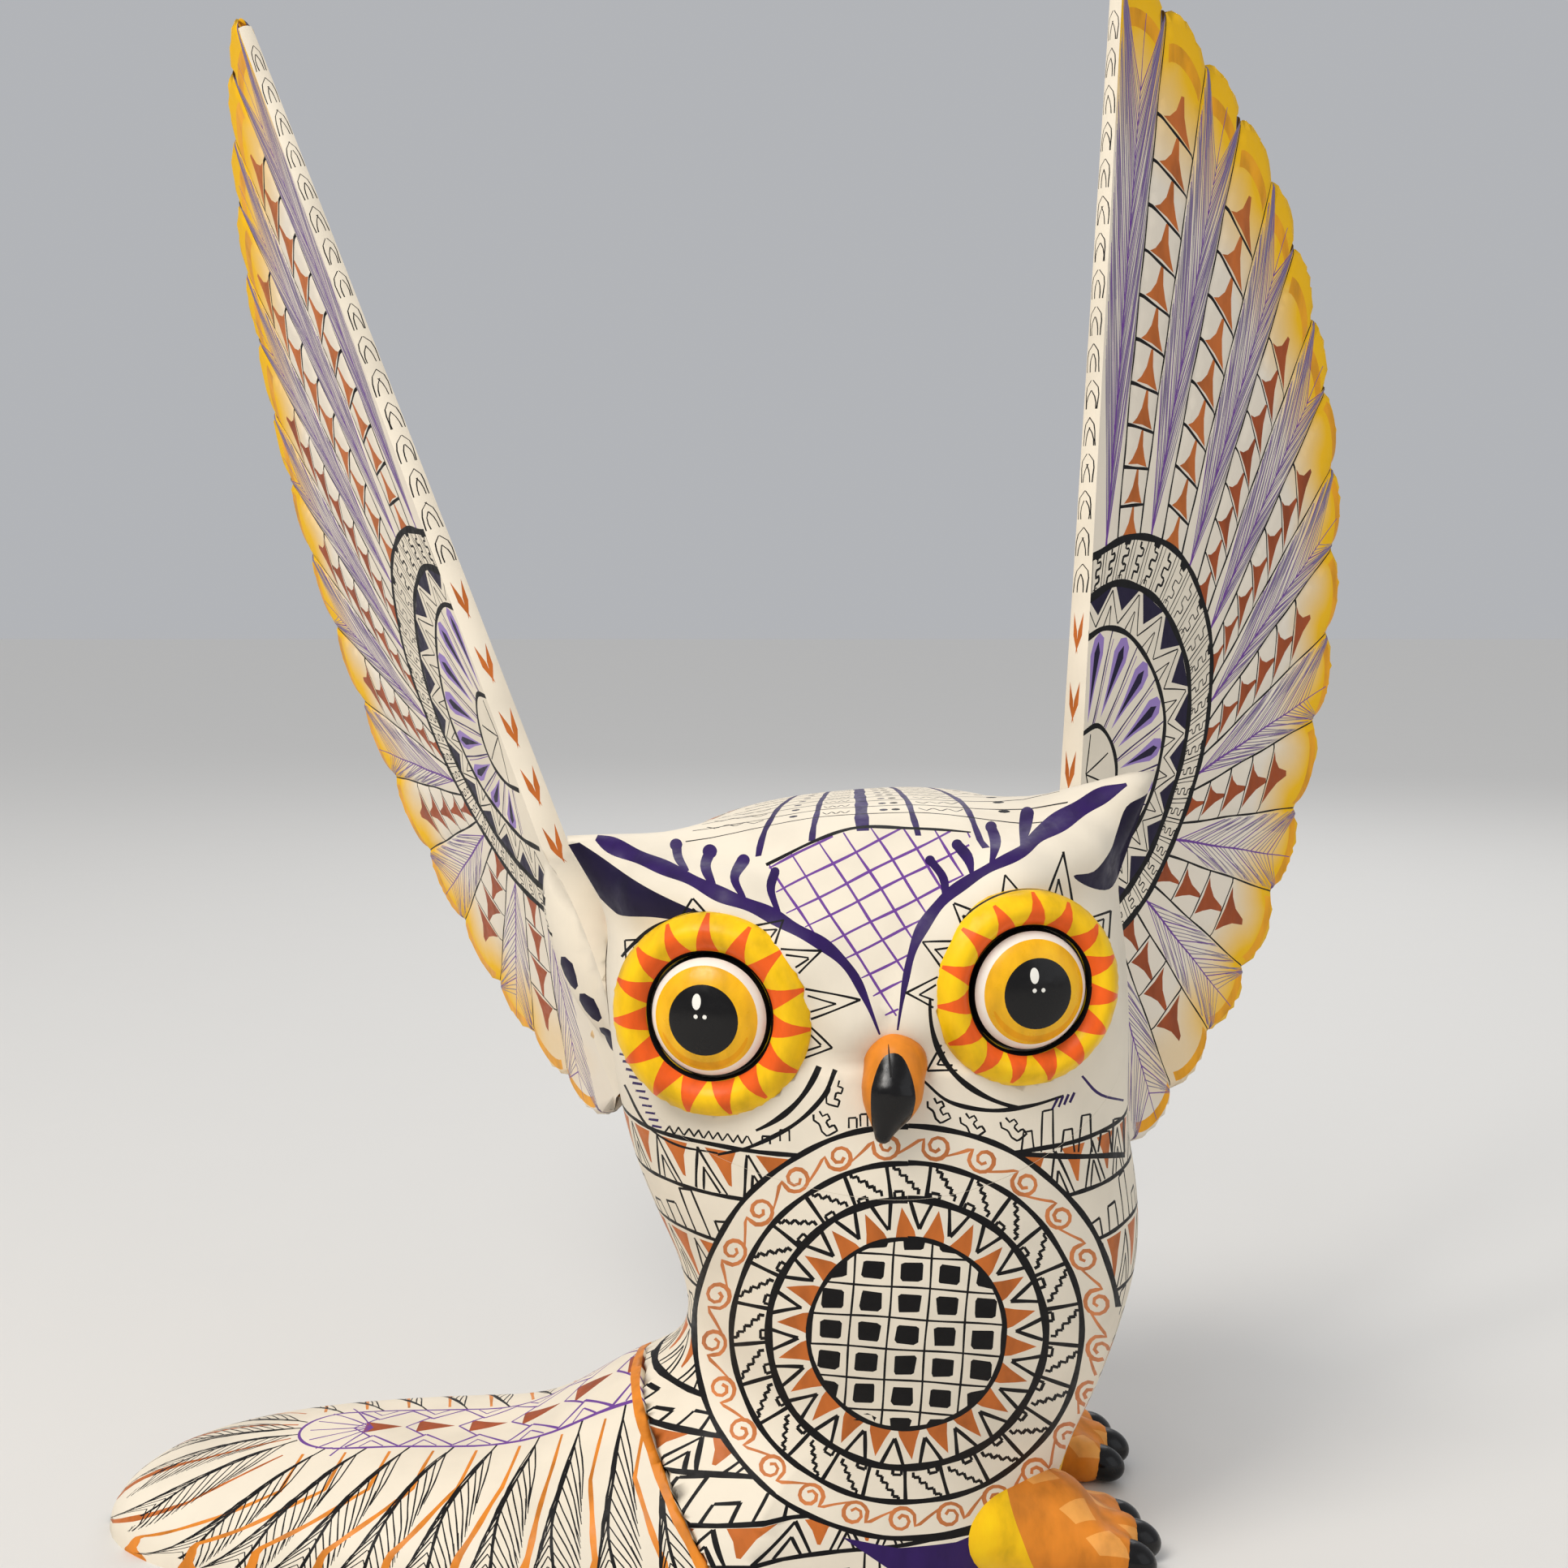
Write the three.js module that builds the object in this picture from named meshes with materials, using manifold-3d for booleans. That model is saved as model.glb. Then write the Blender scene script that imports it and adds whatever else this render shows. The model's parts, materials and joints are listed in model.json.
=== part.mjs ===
// A painted wooden owl with raised wings, carved in blocks that are pegged together.
// Millimetres, +Z up. The origin is on the table, in the flat base under the belly.
// The face and breast look along -Y, the tail lies along -X and the toes point along +X.
// Left and right are those of someone who faces the owl.

import * as THREE from 'three';
import { mergeVertices } from 'three/addons/utils/BufferGeometryUtils.js';
import Module from 'manifold-3d';

const wasm = await Module();
wasm.setup();

// ---------- driving dimensions ----------

const CLEARANCE = 0.3;          // gap left between any two pieces that meet
const FAR = 400;                // larger than any piece, for cutting blocks

// belly and shoulders: round sections about a centre line that leans towards the tail side
const BASE_RADIUS = 24;
const NECK_RADIUS = 60.5;
const NECK_HEIGHT = 104;
const BELLY_FULLNESS = 0.8;     // below 1 the belly swells low down
const BELLY_DEPTH = 0.96;       // depth over width
const BELLY_X = 5;
const SHOULDER_TOP = 128;
const LEAN_START = 65;
const LEAN_END = 140;

// head: a rounded block, rolled and turned a little
const HEAD = new THREE.Vector3(-6, 0, 142);
const HEAD_HALF = { width: 64, depth: 55.5, up: 45, down: 85 };
const FACE_Y = HEAD.y - HEAD_HALF.depth;        // the face's furthest point
const HEAD_SQUARENESS = 2.5;
const HEAD_ROLL = 4.7;          // degrees, right side up
const HEAD_TURN = 3;            // degrees, towards the right
const NECK_SLOPE = 35;          // degrees, chin low and nape high

// ear tufts, from inside the head to the tips, in the head's own axes
const EAR_ROOT = new THREE.Vector3(42, -13, 23);
const EAR_TIP = { left: new THREE.Vector3(-68, -22, 42), right: new THREE.Vector3(70, -22, 46) };
const EAR_ROOT_RADIUS = 20;
const EAR_TIP_RADIUS = 2;

// brow ridges, from the ear tufts down to the beak, in the head's own axes
const BROW_POINTS = [[50, -28, 30], [32, -40, 25], [17, -48, 14], [7, -51, 0]];
const BROW_RADIUS = 7.5;

// fillets where the carved shapes run into each other
const FILLET = { ear: 9, brow: 6, neck: 6, rump: 24, belly: 20 };

// rump, where the belly runs into the tail
const RUMP = { x: -40, tailward: 45, toeward: 80, halfWidth: 49, height: 46 };
const RUMP_SQUARENESS = 2.2;

// tail: a broad low fan with its end on the table
const TAIL_LENGTH = 158;        // from the rump's centre to the tip
const TAIL_HALF_WIDTH = 50;
const TAIL_HEIGHT = 24.5;
const TAIL_SQUARENESS = 2.4;
const TAIL_ROUNDING = { plan: 2.6, profile: 6 };    // powers: higher is squarer at the tip
const TAIL_JOINT_X = -36;       // where the tail's joint meets the table
const TAIL_JOINT_SLOPE = 32;    // degrees off the vertical, leaning over the tail

// eyes: a domed ring sunk into the face and a domed plug inside it
const EYE_FROM_HEAD = { left: [-37, 0], right: [35.6, 6] };    // across and up from the head's centre
const EYE_RING_RADIUS = { left: 22.6, right: 21.6 };
const EYE_PLUG_RADIUS = 14;
const EYE_FACE_INSET = 5.5;     // the ring's seat, behind the face's furthest point
const EYE_RING_DEPTH = 13;
const EYE_RING_BULGE = 5;
const EYE_RING_EDGE = 1;        // height of the ring's edges over its seat
const EYE_RING_SWEEP = [0.08, 0.92];    // share of a half turn that the ring's domed face covers
const EYE_PLUG_EDGE = 1.5;
const EYE_PLUG_BULGE = 7.5;
const EYE_TURN = { left: -15, right: 17 };   // degrees, each eye looks outward

// beak
const BEAK_TOP = [5, -5];       // across and up from the head's centre
const BEAK_DROP = 21.5;         // from its top to its tip
const BEAK_HALF_WIDTH = 8.6;
const BEAK_REACH = 15.5;        // how far it stands out of the face
const BEAK_TAPER = { top: 1.4, bridge: 3 };     // narrower than the half width
const BEAK_TIP_RADIUS = 2;
const BEAK_LEAN = { bridge: 1, tip: 3 };        // sideways, towards the tail
const BEAK_FILLET = 5;

// wings: flat boards of scalloped feathers
const FEATHERS = 17;
const WING_OUTLINE = [
  [197, 0], [192, 22], [160, 75], [100, 111], [27, 116], [-47, 92], [-84, 62], [-108, 32],
];
const WING_ROOT_END = [-104, 6];
const FEATHER_BULGE = 0.324;    // of a feather's width
const FEATHER_SHOULDER = 0.08;  // share of the width where the rounded end starts to turn
const FEATHER_HEEL = 0.22;
const NARROW_FEATHER = 0.93;    // relative widths along the edge
const EXTRA_WIDTH = 0.27;
const WIDEST_FEATHER = 11;
const WIDE_RANGE = 3.2;
const LEADING_CORNER = 8;       // the leading edge's rounded top
const WING_ROOT_THICKNESS = 8;
const WING_TIP_THICKNESS = 3.8;
const BOSS = { along: -68, out: 3, halfLength: 25, halfWidth: 12, halfThickness: 8.5 };    // at the root
const WING_POSE = {
  left: { side: -1, yaw: 63, lean: 20.5, pitch: -14.2, out: 38.3, back: 20.3, rise: 67.1 },
  right: { side: 1, yaw: 44.9, lean: 5.4, pitch: 1, out: -11.3, back: 28.7, rise: 56 },
};

// wing pegs, slanted so that the wing's weight seats them
const PEG_RADIUS = 2.5;
const PEG_IN_SHOULDER = 14;
const PEG_PAST_BOARD = 6;       // beyond the board point it passes through
const PEG_RISE = 30;            // degrees above the level
const PEG_HEADING = { left: 151, right: 38 };   // degrees from +X, seen from above
const PEG_ON_BOARD = {
  left: { upper: [-69, 3], lower: [-92, 12] },
  right: { upper: [-66, 12], lower: [-92, 12] },
};

// dowels
const DOWEL_RADIUS = 4;
const NECK_DOWEL_RADIUS = 6;
const NECK_DOWEL_HALF = 18;
const TAIL_DOWEL_HALF = 14;
const TAIL_DOWEL_SPACING = 34;
const TAIL_DOWEL_RISE = 14;

// feet
const FOOT = {
  front: { ankle: [24, -24], toe: [56, -23] },
  back: { ankle: [26, 33], toe: [57, 33] },
};
const TOE_SPREAD = 10.5;
const TOE_RADIUS = 6;
const ANKLE_RADIUS = 15;
const ANKLE_HEIGHT = 13;
const CLAW_LENGTH = 7;
const CLAW_RADIUS = 4.6;
const LEG_DOWEL_RADIUS = 3;
const LEG_DOWEL_REACH = 14;
const LEG_DOWEL_ENDS = { toe: -5, body: 11 };   // heights from the ankle's middle
const LEG_DOWEL_TURN = 0.5;     // how far its inner end swings towards the middle
const SHIN = { length: 14, drop: 2, taper: 3 };
const KNUCKLE_HEIGHT = 8;
const KNUCKLE_SPREAD = 0.6;     // of the toes' spread
const SIDE_TOE_SHORTER = 3;
const CLAW_SPREAD = 1.1;
const CLAW_TIP_RADIUS = 1.8;
const TOE_FILLET = 5;
const CLAW_FILLET = 1.5;

// fineness of the carved surfaces
const BODY_GRID = [54, 40];
const TAIL_GRID = [32, 20];
const FOOT_GRID = [22, 15];
const BEAK_GRID = [16, 12];
const BEAK_STRETCH = new THREE.Vector3(1, 1, 1.4);
const BODY_STRETCH = new THREE.Vector3(1, 1, 1.5);
const TAIL_STRETCH = new THREE.Vector3(1.7, 1, 0.6);
const FOOT_STRETCH = new THREE.Vector3(1.3, 1, 0.7);
const FOOT_REACH = 60;
const BODY_REACH = 150;         // longer than any ray inside the body
const ROD_SIDES = 12;
const EYE_SIDES = 26;
const EYE_STEPS = 8;
const FEATHER_STEPS = 5;
const SEAT_OPENING = 40;        // how far in front of the face a seat's cutting tool reaches

// ---------- small helpers ----------

const radians = THREE.MathUtils.degToRad;

function smoothStep(low, high, value) {
  return THREE.MathUtils.smoothstep(value, low, high);
}

// Joins two fields with a fillet of about the given size.
function blend(a, b, size) {
  const overlap = Math.max(size - Math.abs(a - b), 0) / size;
  return Math.min(a, b) - overlap * overlap * size / 4;
}

// Distance from a point to a tapered rod with round ends.
function rodDistance(point, start, end, startRadius, endRadius) {
  const along = end.clone().sub(start);
  const t = THREE.MathUtils.clamp(point.clone().sub(start).dot(along) / along.lengthSq(), 0, 1);
  const nearest = start.clone().addScaledVector(along, t);
  return point.distanceTo(nearest) - THREE.MathUtils.lerp(startRadius, endRadius, t);
}

// Radial distance from a point to a rounded block about the origin.
function blockDistance(x, y, z, halfX, halfY, halfZ, squareness) {
  const size = Math.abs(x / halfX) ** squareness + Math.abs(y / halfY) ** squareness
    + Math.abs(z / halfZ) ** squareness;
  const scale = Math.max(size, 1e-9) ** (1 / squareness);
  return Math.hypot(x, y, z) * (1 - 1 / scale);
}

// ---------- the carved shape of belly, head, rump and tail ----------

const headTurn = new THREE.Matrix4()
  .makeRotationZ(radians(HEAD_TURN))
  .multiply(new THREE.Matrix4().makeRotationY(radians(-HEAD_ROLL)));
const headTurnBack = headTurn.clone().invert();

function centreLine(z) {
  return BELLY_X + (HEAD.x - BELLY_X) * smoothStep(LEAN_START, LEAN_END, z);
}

function bellyField(point) {
  const level = Math.max(point.z, 0) / NECK_HEIGHT;
  const swell = Math.sin(Math.PI / 2 * level ** BELLY_FULLNESS);
  const radius = BASE_RADIUS + (NECK_RADIUS - BASE_RADIUS) * swell;
  const out = Math.hypot(point.x - centreLine(point.z), point.y / BELLY_DEPTH) - radius;
  return Math.max(out, point.z - SHOULDER_TOP);
}

function rumpField(point) {
  const halfLength = point.x < RUMP.x ? RUMP.tailward : RUMP.toeward;
  return blockDistance(
    point.x - RUMP.x, point.y, point.z, halfLength, RUMP.halfWidth, RUMP.height, RUMP_SQUARENESS,
  );
}

function tailHalfWidth(reach) {
  return TAIL_HALF_WIDTH * Math.sqrt(Math.max(1 - Math.max(reach, 0) ** TAIL_ROUNDING.plan, 1e-4));
}

function tailHeight(reach) {
  return TAIL_HEIGHT * Math.sqrt(Math.max(1 - Math.max(reach, 0) ** TAIL_ROUNDING.profile, 1e-4));
}

function tailField(point) {
  const reach = (RUMP.x - point.x) / TAIL_LENGTH;
  const past = (reach - 1) * TAIL_LENGTH;
  const across = Math.abs(point.y / tailHalfWidth(reach)) ** TAIL_SQUARENESS;
  const up = Math.abs(point.z / tailHeight(reach)) ** TAIL_SQUARENESS;
  const scale = Math.max(across + up, 1e-9) ** (1 / TAIL_SQUARENESS);
  const side = Math.hypot(point.y, point.z) * (1 - 1 / scale);
  return Math.max(side, past, point.x - RUMP.x);
}

function headField(point) {
  const local = point.clone().sub(HEAD).applyMatrix4(headTurnBack);
  const height = local.z > 0 ? HEAD_HALF.up : HEAD_HALF.down;
  let field = blockDistance(
    local.x, local.y, local.z, HEAD_HALF.width, HEAD_HALF.depth, height, HEAD_SQUARENESS,
  );
  const side = local.x < 0 ? 'left' : 'right';
  const root = EAR_ROOT.clone();
  root.x *= Math.sign(EAR_TIP[side].x);
  const ear = rodDistance(local, root, EAR_TIP[side], EAR_ROOT_RADIUS, EAR_TIP_RADIUS);
  field = blend(field, ear, FILLET.ear);
  const mirrored = new THREE.Vector3(Math.abs(local.x), local.y, local.z);
  for (let i = 0; i + 1 < BROW_POINTS.length; i += 1) {
    const from = new THREE.Vector3(...BROW_POINTS[i]);
    const to = new THREE.Vector3(...BROW_POINTS[i + 1]);
    field = blend(field, rodDistance(mirrored, from, to, BROW_RADIUS, BROW_RADIUS), FILLET.brow);
  }
  return field;
}

function upperField(point) {
  return blend(bellyField(point), headField(point), FILLET.neck);
}

function bodyField(point) {
  const lower = blend(rumpField(point), tailField(point), FILLET.rump);
  return blend(upperField(point), lower, FILLET.belly);
}

// ---------- solids ----------

function toSolid(geometry) {
  const bare = geometry.index ? geometry.clone() : geometry;
  bare.deleteAttribute('normal');
  bare.deleteAttribute('uv');
  const merged = mergeVertices(bare, 1e-4);
  return new wasm.Manifold(new wasm.Mesh({
    numProp: 3,
    vertProperties: Float32Array.from(merged.attributes.position.array),
    triVerts: Uint32Array.from(merged.index.array),
  }));
}

function toGeometry(solid) {
  const mesh = solid.getMesh();
  const geometry = new THREE.BufferGeometry();
  geometry.setAttribute('position', new THREE.BufferAttribute(mesh.vertProperties, 3));
  geometry.setIndex(new THREE.BufferAttribute(mesh.triVerts, 1));
  return geometry;
}

// Carves the first surface that each ray from the centre meets.
function carve(centre, stretch, field, [columns, rows], reach) {
  const geometry = new THREE.SphereGeometry(1, columns, rows);
  geometry.rotateX(Math.PI / 2);
  geometry.deleteAttribute('normal');
  geometry.deleteAttribute('uv');
  const merged = mergeVertices(geometry, 1e-5);
  const position = merged.attributes.position;
  const ray = new THREE.Vector3();
  const at = (distance) => ray.clone().multiplyScalar(distance).add(centre);
  for (let i = 0; i < position.count; i += 1) {
    ray.fromBufferAttribute(position, i).multiply(stretch).normalize();
    let near = 2;
    let far = near;
    while (far < reach && field(at(far)) < 0) {
      near = far;
      far += 4;
    }
    for (let step = 0; step < 22; step += 1) {
      const middle = (near + far) / 2;
      if (field(at(middle)) < 0) near = middle;
      else far = middle;
    }
    const hit = at((near + far) / 2);
    position.setXYZ(i, hit.x, hit.y, hit.z);
  }
  return toSolid(merged);
}

// A block that fills the side of a plane towards which the direction points.
function halfSpace(origin, direction, gap) {
  const block = new THREE.BoxGeometry(FAR, FAR, FAR);
  block.translate(0, 0, FAR / 2 + gap);
  const turn = new THREE.Quaternion().setFromUnitVectors(new THREE.Vector3(0, 0, 1), direction);
  block.applyQuaternion(turn);
  block.translate(origin.x, origin.y, origin.z);
  return toSolid(block);
}

// A round rod whose length runs from start to end.
function rod(start, end, radius) {
  const along = end.clone().sub(start);
  const geometry = new THREE.CylinderGeometry(radius, radius, along.length(), ROD_SIDES);
  const turn = new THREE.Quaternion().setFromUnitVectors(
    new THREE.Vector3(0, 1, 0), along.clone().normalize(),
  );
  geometry.applyQuaternion(turn);
  const middle = start.clone().lerp(end, 0.5);
  geometry.translate(middle.x, middle.y, middle.z);
  return toSolid(geometry);
}

// The hole that a rod fits with clearance all round and at both ends.
function socket({ start, end, radius }) {
  const along = end.clone().sub(start).normalize().multiplyScalar(CLEARANCE);
  return rod(start.clone().sub(along), end.clone().add(along), radius + CLEARANCE);
}

// ---------- joints between the blocks ----------

const up = new THREE.Vector3(0, 0, 1);
const neckNormal = new THREE.Vector3(0, -Math.sin(radians(NECK_SLOPE)), Math.cos(radians(NECK_SLOPE)));
const tailPoint = new THREE.Vector3(TAIL_JOINT_X, 0, 0);
const tailNormal = new THREE.Vector3(
  -Math.cos(radians(TAIL_JOINT_SLOPE)), 0, -Math.sin(radians(TAIL_JOINT_SLOPE)),
);

const neckDowel = {
  start: HEAD.clone().addScaledVector(neckNormal, -NECK_DOWEL_HALF),
  end: HEAD.clone().addScaledVector(neckNormal, NECK_DOWEL_HALF),
  radius: NECK_DOWEL_RADIUS,
};

function tailDowel(side) {
  const middle = tailPoint.clone();
  middle.z = TAIL_DOWEL_RISE;
  middle.x -= TAIL_DOWEL_RISE * Math.tan(radians(TAIL_JOINT_SLOPE));
  middle.y = side * TAIL_DOWEL_SPACING / 2;
  return {
    start: new THREE.Vector3(middle.x - TAIL_DOWEL_HALF, middle.y, middle.z),
    end: new THREE.Vector3(middle.x + TAIL_DOWEL_HALF, middle.y, middle.z),
    radius: DOWEL_RADIUS,
  };
}

function legDowel(foot) {
  const [x, y] = foot.ankle;
  return {
    start: new THREE.Vector3(x + LEG_DOWEL_REACH, y, ANKLE_HEIGHT + LEG_DOWEL_ENDS.toe),
    end: new THREE.Vector3(x - LEG_DOWEL_REACH, y * LEG_DOWEL_TURN, ANKLE_HEIGHT + LEG_DOWEL_ENDS.body),
    radius: LEG_DOWEL_RADIUS,
  };
}

const tailDowels = { front: tailDowel(-1), back: tailDowel(1) };
const legDowels = { front: legDowel(FOOT.front), back: legDowel(FOOT.back) };

// ---------- wings ----------

// A wing's own axes: x out along the chord, y up the span, z through the board. Their origin lies out
// from the shoulder's radius and above the head's centre.
function wingMatrix({ side, yaw, lean, pitch, out, back, rise }) {
  const chord = new THREE.Vector3(side * Math.cos(radians(yaw)), Math.sin(radians(yaw)), 0);
  const away = new THREE.Vector3(-side * Math.sin(radians(yaw)), Math.cos(radians(yaw)), 0);
  const span = up.clone().multiplyScalar(Math.cos(radians(pitch)))
    .addScaledVector(away, Math.sin(radians(pitch)));
  const spanAxis = span.clone().multiplyScalar(Math.cos(radians(lean)))
    .addScaledVector(chord, Math.sin(radians(lean)));
  const chordAxis = chord.clone().multiplyScalar(Math.cos(radians(lean)))
    .addScaledVector(span, -Math.sin(radians(lean)));
  const through = chordAxis.clone().cross(spanAxis);
  return new THREE.Matrix4().makeBasis(chordAxis, spanAxis, through).setPosition(
    side * (NECK_RADIUS + out), back, HEAD.z + rise,
  );
}

// Where the notches between feathers lie along the outline: side feathers are the widest.
function notchFractions() {
  const widths = Array.from({ length: FEATHERS }, (_, k) => (
    NARROW_FEATHER + EXTRA_WIDTH * Math.exp(-(((k - WIDEST_FEATHER) / WIDE_RANGE) ** 2))
  ));
  const total = widths.reduce((sum, width) => sum + width, 0);
  let reached = 0;
  return widths.map((width) => {
    reached += width;
    return reached / total;
  });
}

function wingShape() {
  const outline = new THREE.SplineCurve(WING_OUTLINE.map(([a, b]) => new THREE.Vector2(b, a)));
  outline.arcLengthDivisions = 600;
  const shape = new THREE.Shape();
  shape.moveTo(WING_ROOT_END[1], WING_ROOT_END[0]);
  shape.lineTo(0, WING_OUTLINE[0][0] - LEADING_CORNER);
  shape.lineTo(0, WING_OUTLINE[0][0] - LEADING_CORNER / 2);
  let from = new THREE.Vector2(LEADING_CORNER / 5, WING_OUTLINE[0][0] - LEADING_CORNER / 5);
  shape.lineTo(from.x, from.y);
  for (const fraction of notchFractions()) {
    const notch = outline.getPointAt(fraction);
    const step = notch.clone().sub(from);
    const outward = new THREE.Vector2(-step.y, step.x).multiplyScalar(FEATHER_BULGE);
    shape.bezierCurveTo(
      from.x + step.x * FEATHER_SHOULDER + outward.x, from.y + step.y * FEATHER_SHOULDER + outward.y,
      notch.x - step.x * FEATHER_HEEL + outward.x, notch.y - step.y * FEATHER_HEEL + outward.y,
      notch.x, notch.y,
    );
    from = notch;
  }
  return shape;
}

function wingBoard() {
  const geometry = new THREE.ExtrudeGeometry(
    wingShape(), { depth: 1, bevelEnabled: false, curveSegments: FEATHER_STEPS },
  );
  geometry.translate(0, 0, -0.5);
  const position = geometry.attributes.position;
  const low = WING_ROOT_END[0];
  const high = WING_OUTLINE[0][0];
  for (let i = 0; i < position.count; i += 1) {
    const share = (position.getY(i) - low) / (high - low);
    const thickness = THREE.MathUtils.lerp(WING_ROOT_THICKNESS, WING_TIP_THICKNESS, share);
    position.setZ(i, position.getZ(i) * thickness);
  }
  return geometry;
}

function wingBoss() {
  const geometry = new THREE.SphereGeometry(1, 16, 12);
  geometry.scale(BOSS.halfWidth, BOSS.halfLength, BOSS.halfThickness);
  geometry.translate(BOSS.out, BOSS.along, 0);
  return geometry;
}

// A peg runs from the shoulder out and up into the wing root, through a point of the board.
function wingPeg(side, level) {
  const matrix = wingMatrix(WING_POSE[side]);
  const [a, b] = PEG_ON_BOARD[side][level];
  const middle = new THREE.Vector3(b, a, 0).applyMatrix4(matrix);
  const heading = radians(PEG_HEADING[side]);
  const rise = radians(PEG_RISE);
  const outward = new THREE.Vector3(
    Math.cos(heading) * Math.cos(rise), Math.sin(heading) * Math.cos(rise), Math.sin(rise),
  );
  let depth = 0;
  while (bodyField(middle.clone().addScaledVector(outward, -depth)) > 0) depth += 0.25;
  const entry = middle.clone().addScaledVector(outward, -depth);
  return {
    start: entry.clone().addScaledVector(outward, -PEG_IN_SHOULDER),
    end: middle.clone().addScaledVector(outward, PEG_PAST_BOARD),
    radius: PEG_RADIUS,
  };
}

const wingPegs = {};
for (const side of ['left', 'right']) {
  for (const level of ['upper', 'lower']) wingPegs[`${side}_${level}`] = wingPeg(side, level);
}

function pegsOf(side) {
  return [wingPegs[`${side}_upper`], wingPegs[`${side}_lower`]];
}

function wing(side, bodyEnvelope) {
  const matrix = wingMatrix(WING_POSE[side]);
  let solid = toSolid(wingBoard().applyMatrix4(matrix)).add(toSolid(wingBoss().applyMatrix4(matrix)));
  solid = solid.subtract(bodyEnvelope);
  for (const peg of pegsOf(side)) solid = solid.subtract(socket(peg));
  return solid;
}

// ---------- eyes and beak ----------

// Placed on the face: local +Z of the turned piece looks out of the face.
function eyeMatrix(side) {
  const [across, rise] = EYE_FROM_HEAD[side];
  return new THREE.Matrix4()
    .makeTranslation(HEAD.x + across, FACE_Y + EYE_FACE_INSET, HEAD.z + rise)
    .multiply(new THREE.Matrix4().makeRotationZ(radians(EYE_TURN[side])))
    .multiply(new THREE.Matrix4().makeRotationX(radians(90)));
}

function lathe(points, matrix) {
  const geometry = new THREE.LatheGeometry(points.map(([r, z]) => new THREE.Vector2(r, z)), EYE_SIDES);
  geometry.rotateX(Math.PI / 2);
  return toSolid(geometry.applyMatrix4(matrix));
}

// The ring's domed face, from its outer edge in.
function ringFace(inner, outer) {
  const points = [];
  for (let i = 0; i <= EYE_STEPS; i += 1) {
    const t = i / EYE_STEPS;
    const sweep = THREE.MathUtils.lerp(...EYE_RING_SWEEP, t);
    points.push([
      THREE.MathUtils.lerp(outer, inner, t), EYE_RING_EDGE + EYE_RING_BULGE * Math.sin(Math.PI * sweep),
    ]);
  }
  return points;
}

function eyeRing(side) {
  const inner = EYE_PLUG_RADIUS + CLEARANCE;
  const outer = EYE_RING_RADIUS[side];
  const profile = [
    [inner, -EYE_RING_DEPTH], [outer, -EYE_RING_DEPTH],
    ...ringFace(inner, outer), [inner, -EYE_RING_DEPTH],
  ];
  return lathe(profile, eyeMatrix(side));
}

function eyeball(side) {
  const profile = [[0, -EYE_RING_DEPTH], [EYE_PLUG_RADIUS, -EYE_RING_DEPTH]];
  for (let i = 0; i < EYE_STEPS; i += 1) {
    const angle = Math.PI / 2 * (i / EYE_STEPS);
    profile.push([EYE_PLUG_RADIUS * Math.cos(angle), EYE_PLUG_EDGE + EYE_PLUG_BULGE * Math.sin(angle)]);
  }
  profile.push([0, EYE_PLUG_EDGE + EYE_PLUG_BULGE]);
  return lathe(profile, eyeMatrix(side));
}

function eyeSeat(side) {
  const radius = EYE_RING_RADIUS[side] + CLEARANCE;
  const floor = -EYE_RING_DEPTH - CLEARANCE;
  const profile = [[0, floor], [radius, floor], [radius, SEAT_OPENING], [0, SEAT_OPENING]];
  return lathe(profile, eyeMatrix(side));
}

const beakPlaces = (() => {
  const x = HEAD.x + BEAK_TOP[0];
  const z = HEAD.z + BEAK_TOP[1];
  const seat = FACE_Y + EYE_FACE_INSET;
  const middle = z - BEAK_DROP / 2;
  const front = seat - BEAK_REACH;
  return {
    top: new THREE.Vector3(x, seat - BEAK_HALF_WIDTH * 0.7, z - BEAK_FILLET),
    bridge: new THREE.Vector3(x - BEAK_LEAN.bridge, front + BEAK_FILLET, middle),
    tip: new THREE.Vector3(x - BEAK_LEAN.tip, front + BEAK_TIP_RADIUS + 1, z - BEAK_DROP + BEAK_TIP_RADIUS),
    inside: new THREE.Vector3(x - BEAK_LEAN.bridge, front + BEAK_FILLET + 1, middle),
  };
})();

function beakField(point) {
  const { top, bridge, tip } = beakPlaces;
  const narrow = BEAK_HALF_WIDTH - BEAK_TAPER.bridge;
  const upper = rodDistance(point, top, bridge, BEAK_HALF_WIDTH - BEAK_TAPER.top, narrow);
  const lower = rodDistance(point, bridge, tip, narrow, BEAK_TIP_RADIUS);
  return blend(upper, lower, BEAK_FILLET);
}

function carveBeak(field) {
  return carve(beakPlaces.inside, BEAK_STRETCH, field, BEAK_GRID, BEAK_DROP * 2);
}

function beak() {
  return carveBeak(beakField);
}

function beakSeat() {
  return carveBeak((point) => beakField(point) - CLEARANCE);
}

// ---------- feet ----------

// Where one toe and its claw lie. place is -1, 0 or 1 across the foot.
function toeAt({ ankle, toe }, place) {
  const x = toe[0] - Math.abs(place) * SIDE_TOE_SHORTER;
  const y = (spread) => toe[1] + place * TOE_SPREAD * spread;
  return {
    knuckle: new THREE.Vector3(ankle[0] + SHIN.length, y(KNUCKLE_SPREAD), KNUCKLE_HEIGHT),
    end: new THREE.Vector3(x, y(1), TOE_RADIUS),
    claw: new THREE.Vector3(x + CLAW_LENGTH, y(CLAW_SPREAD), CLAW_RADIUS - CLAW_FILLET),
  };
}

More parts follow.
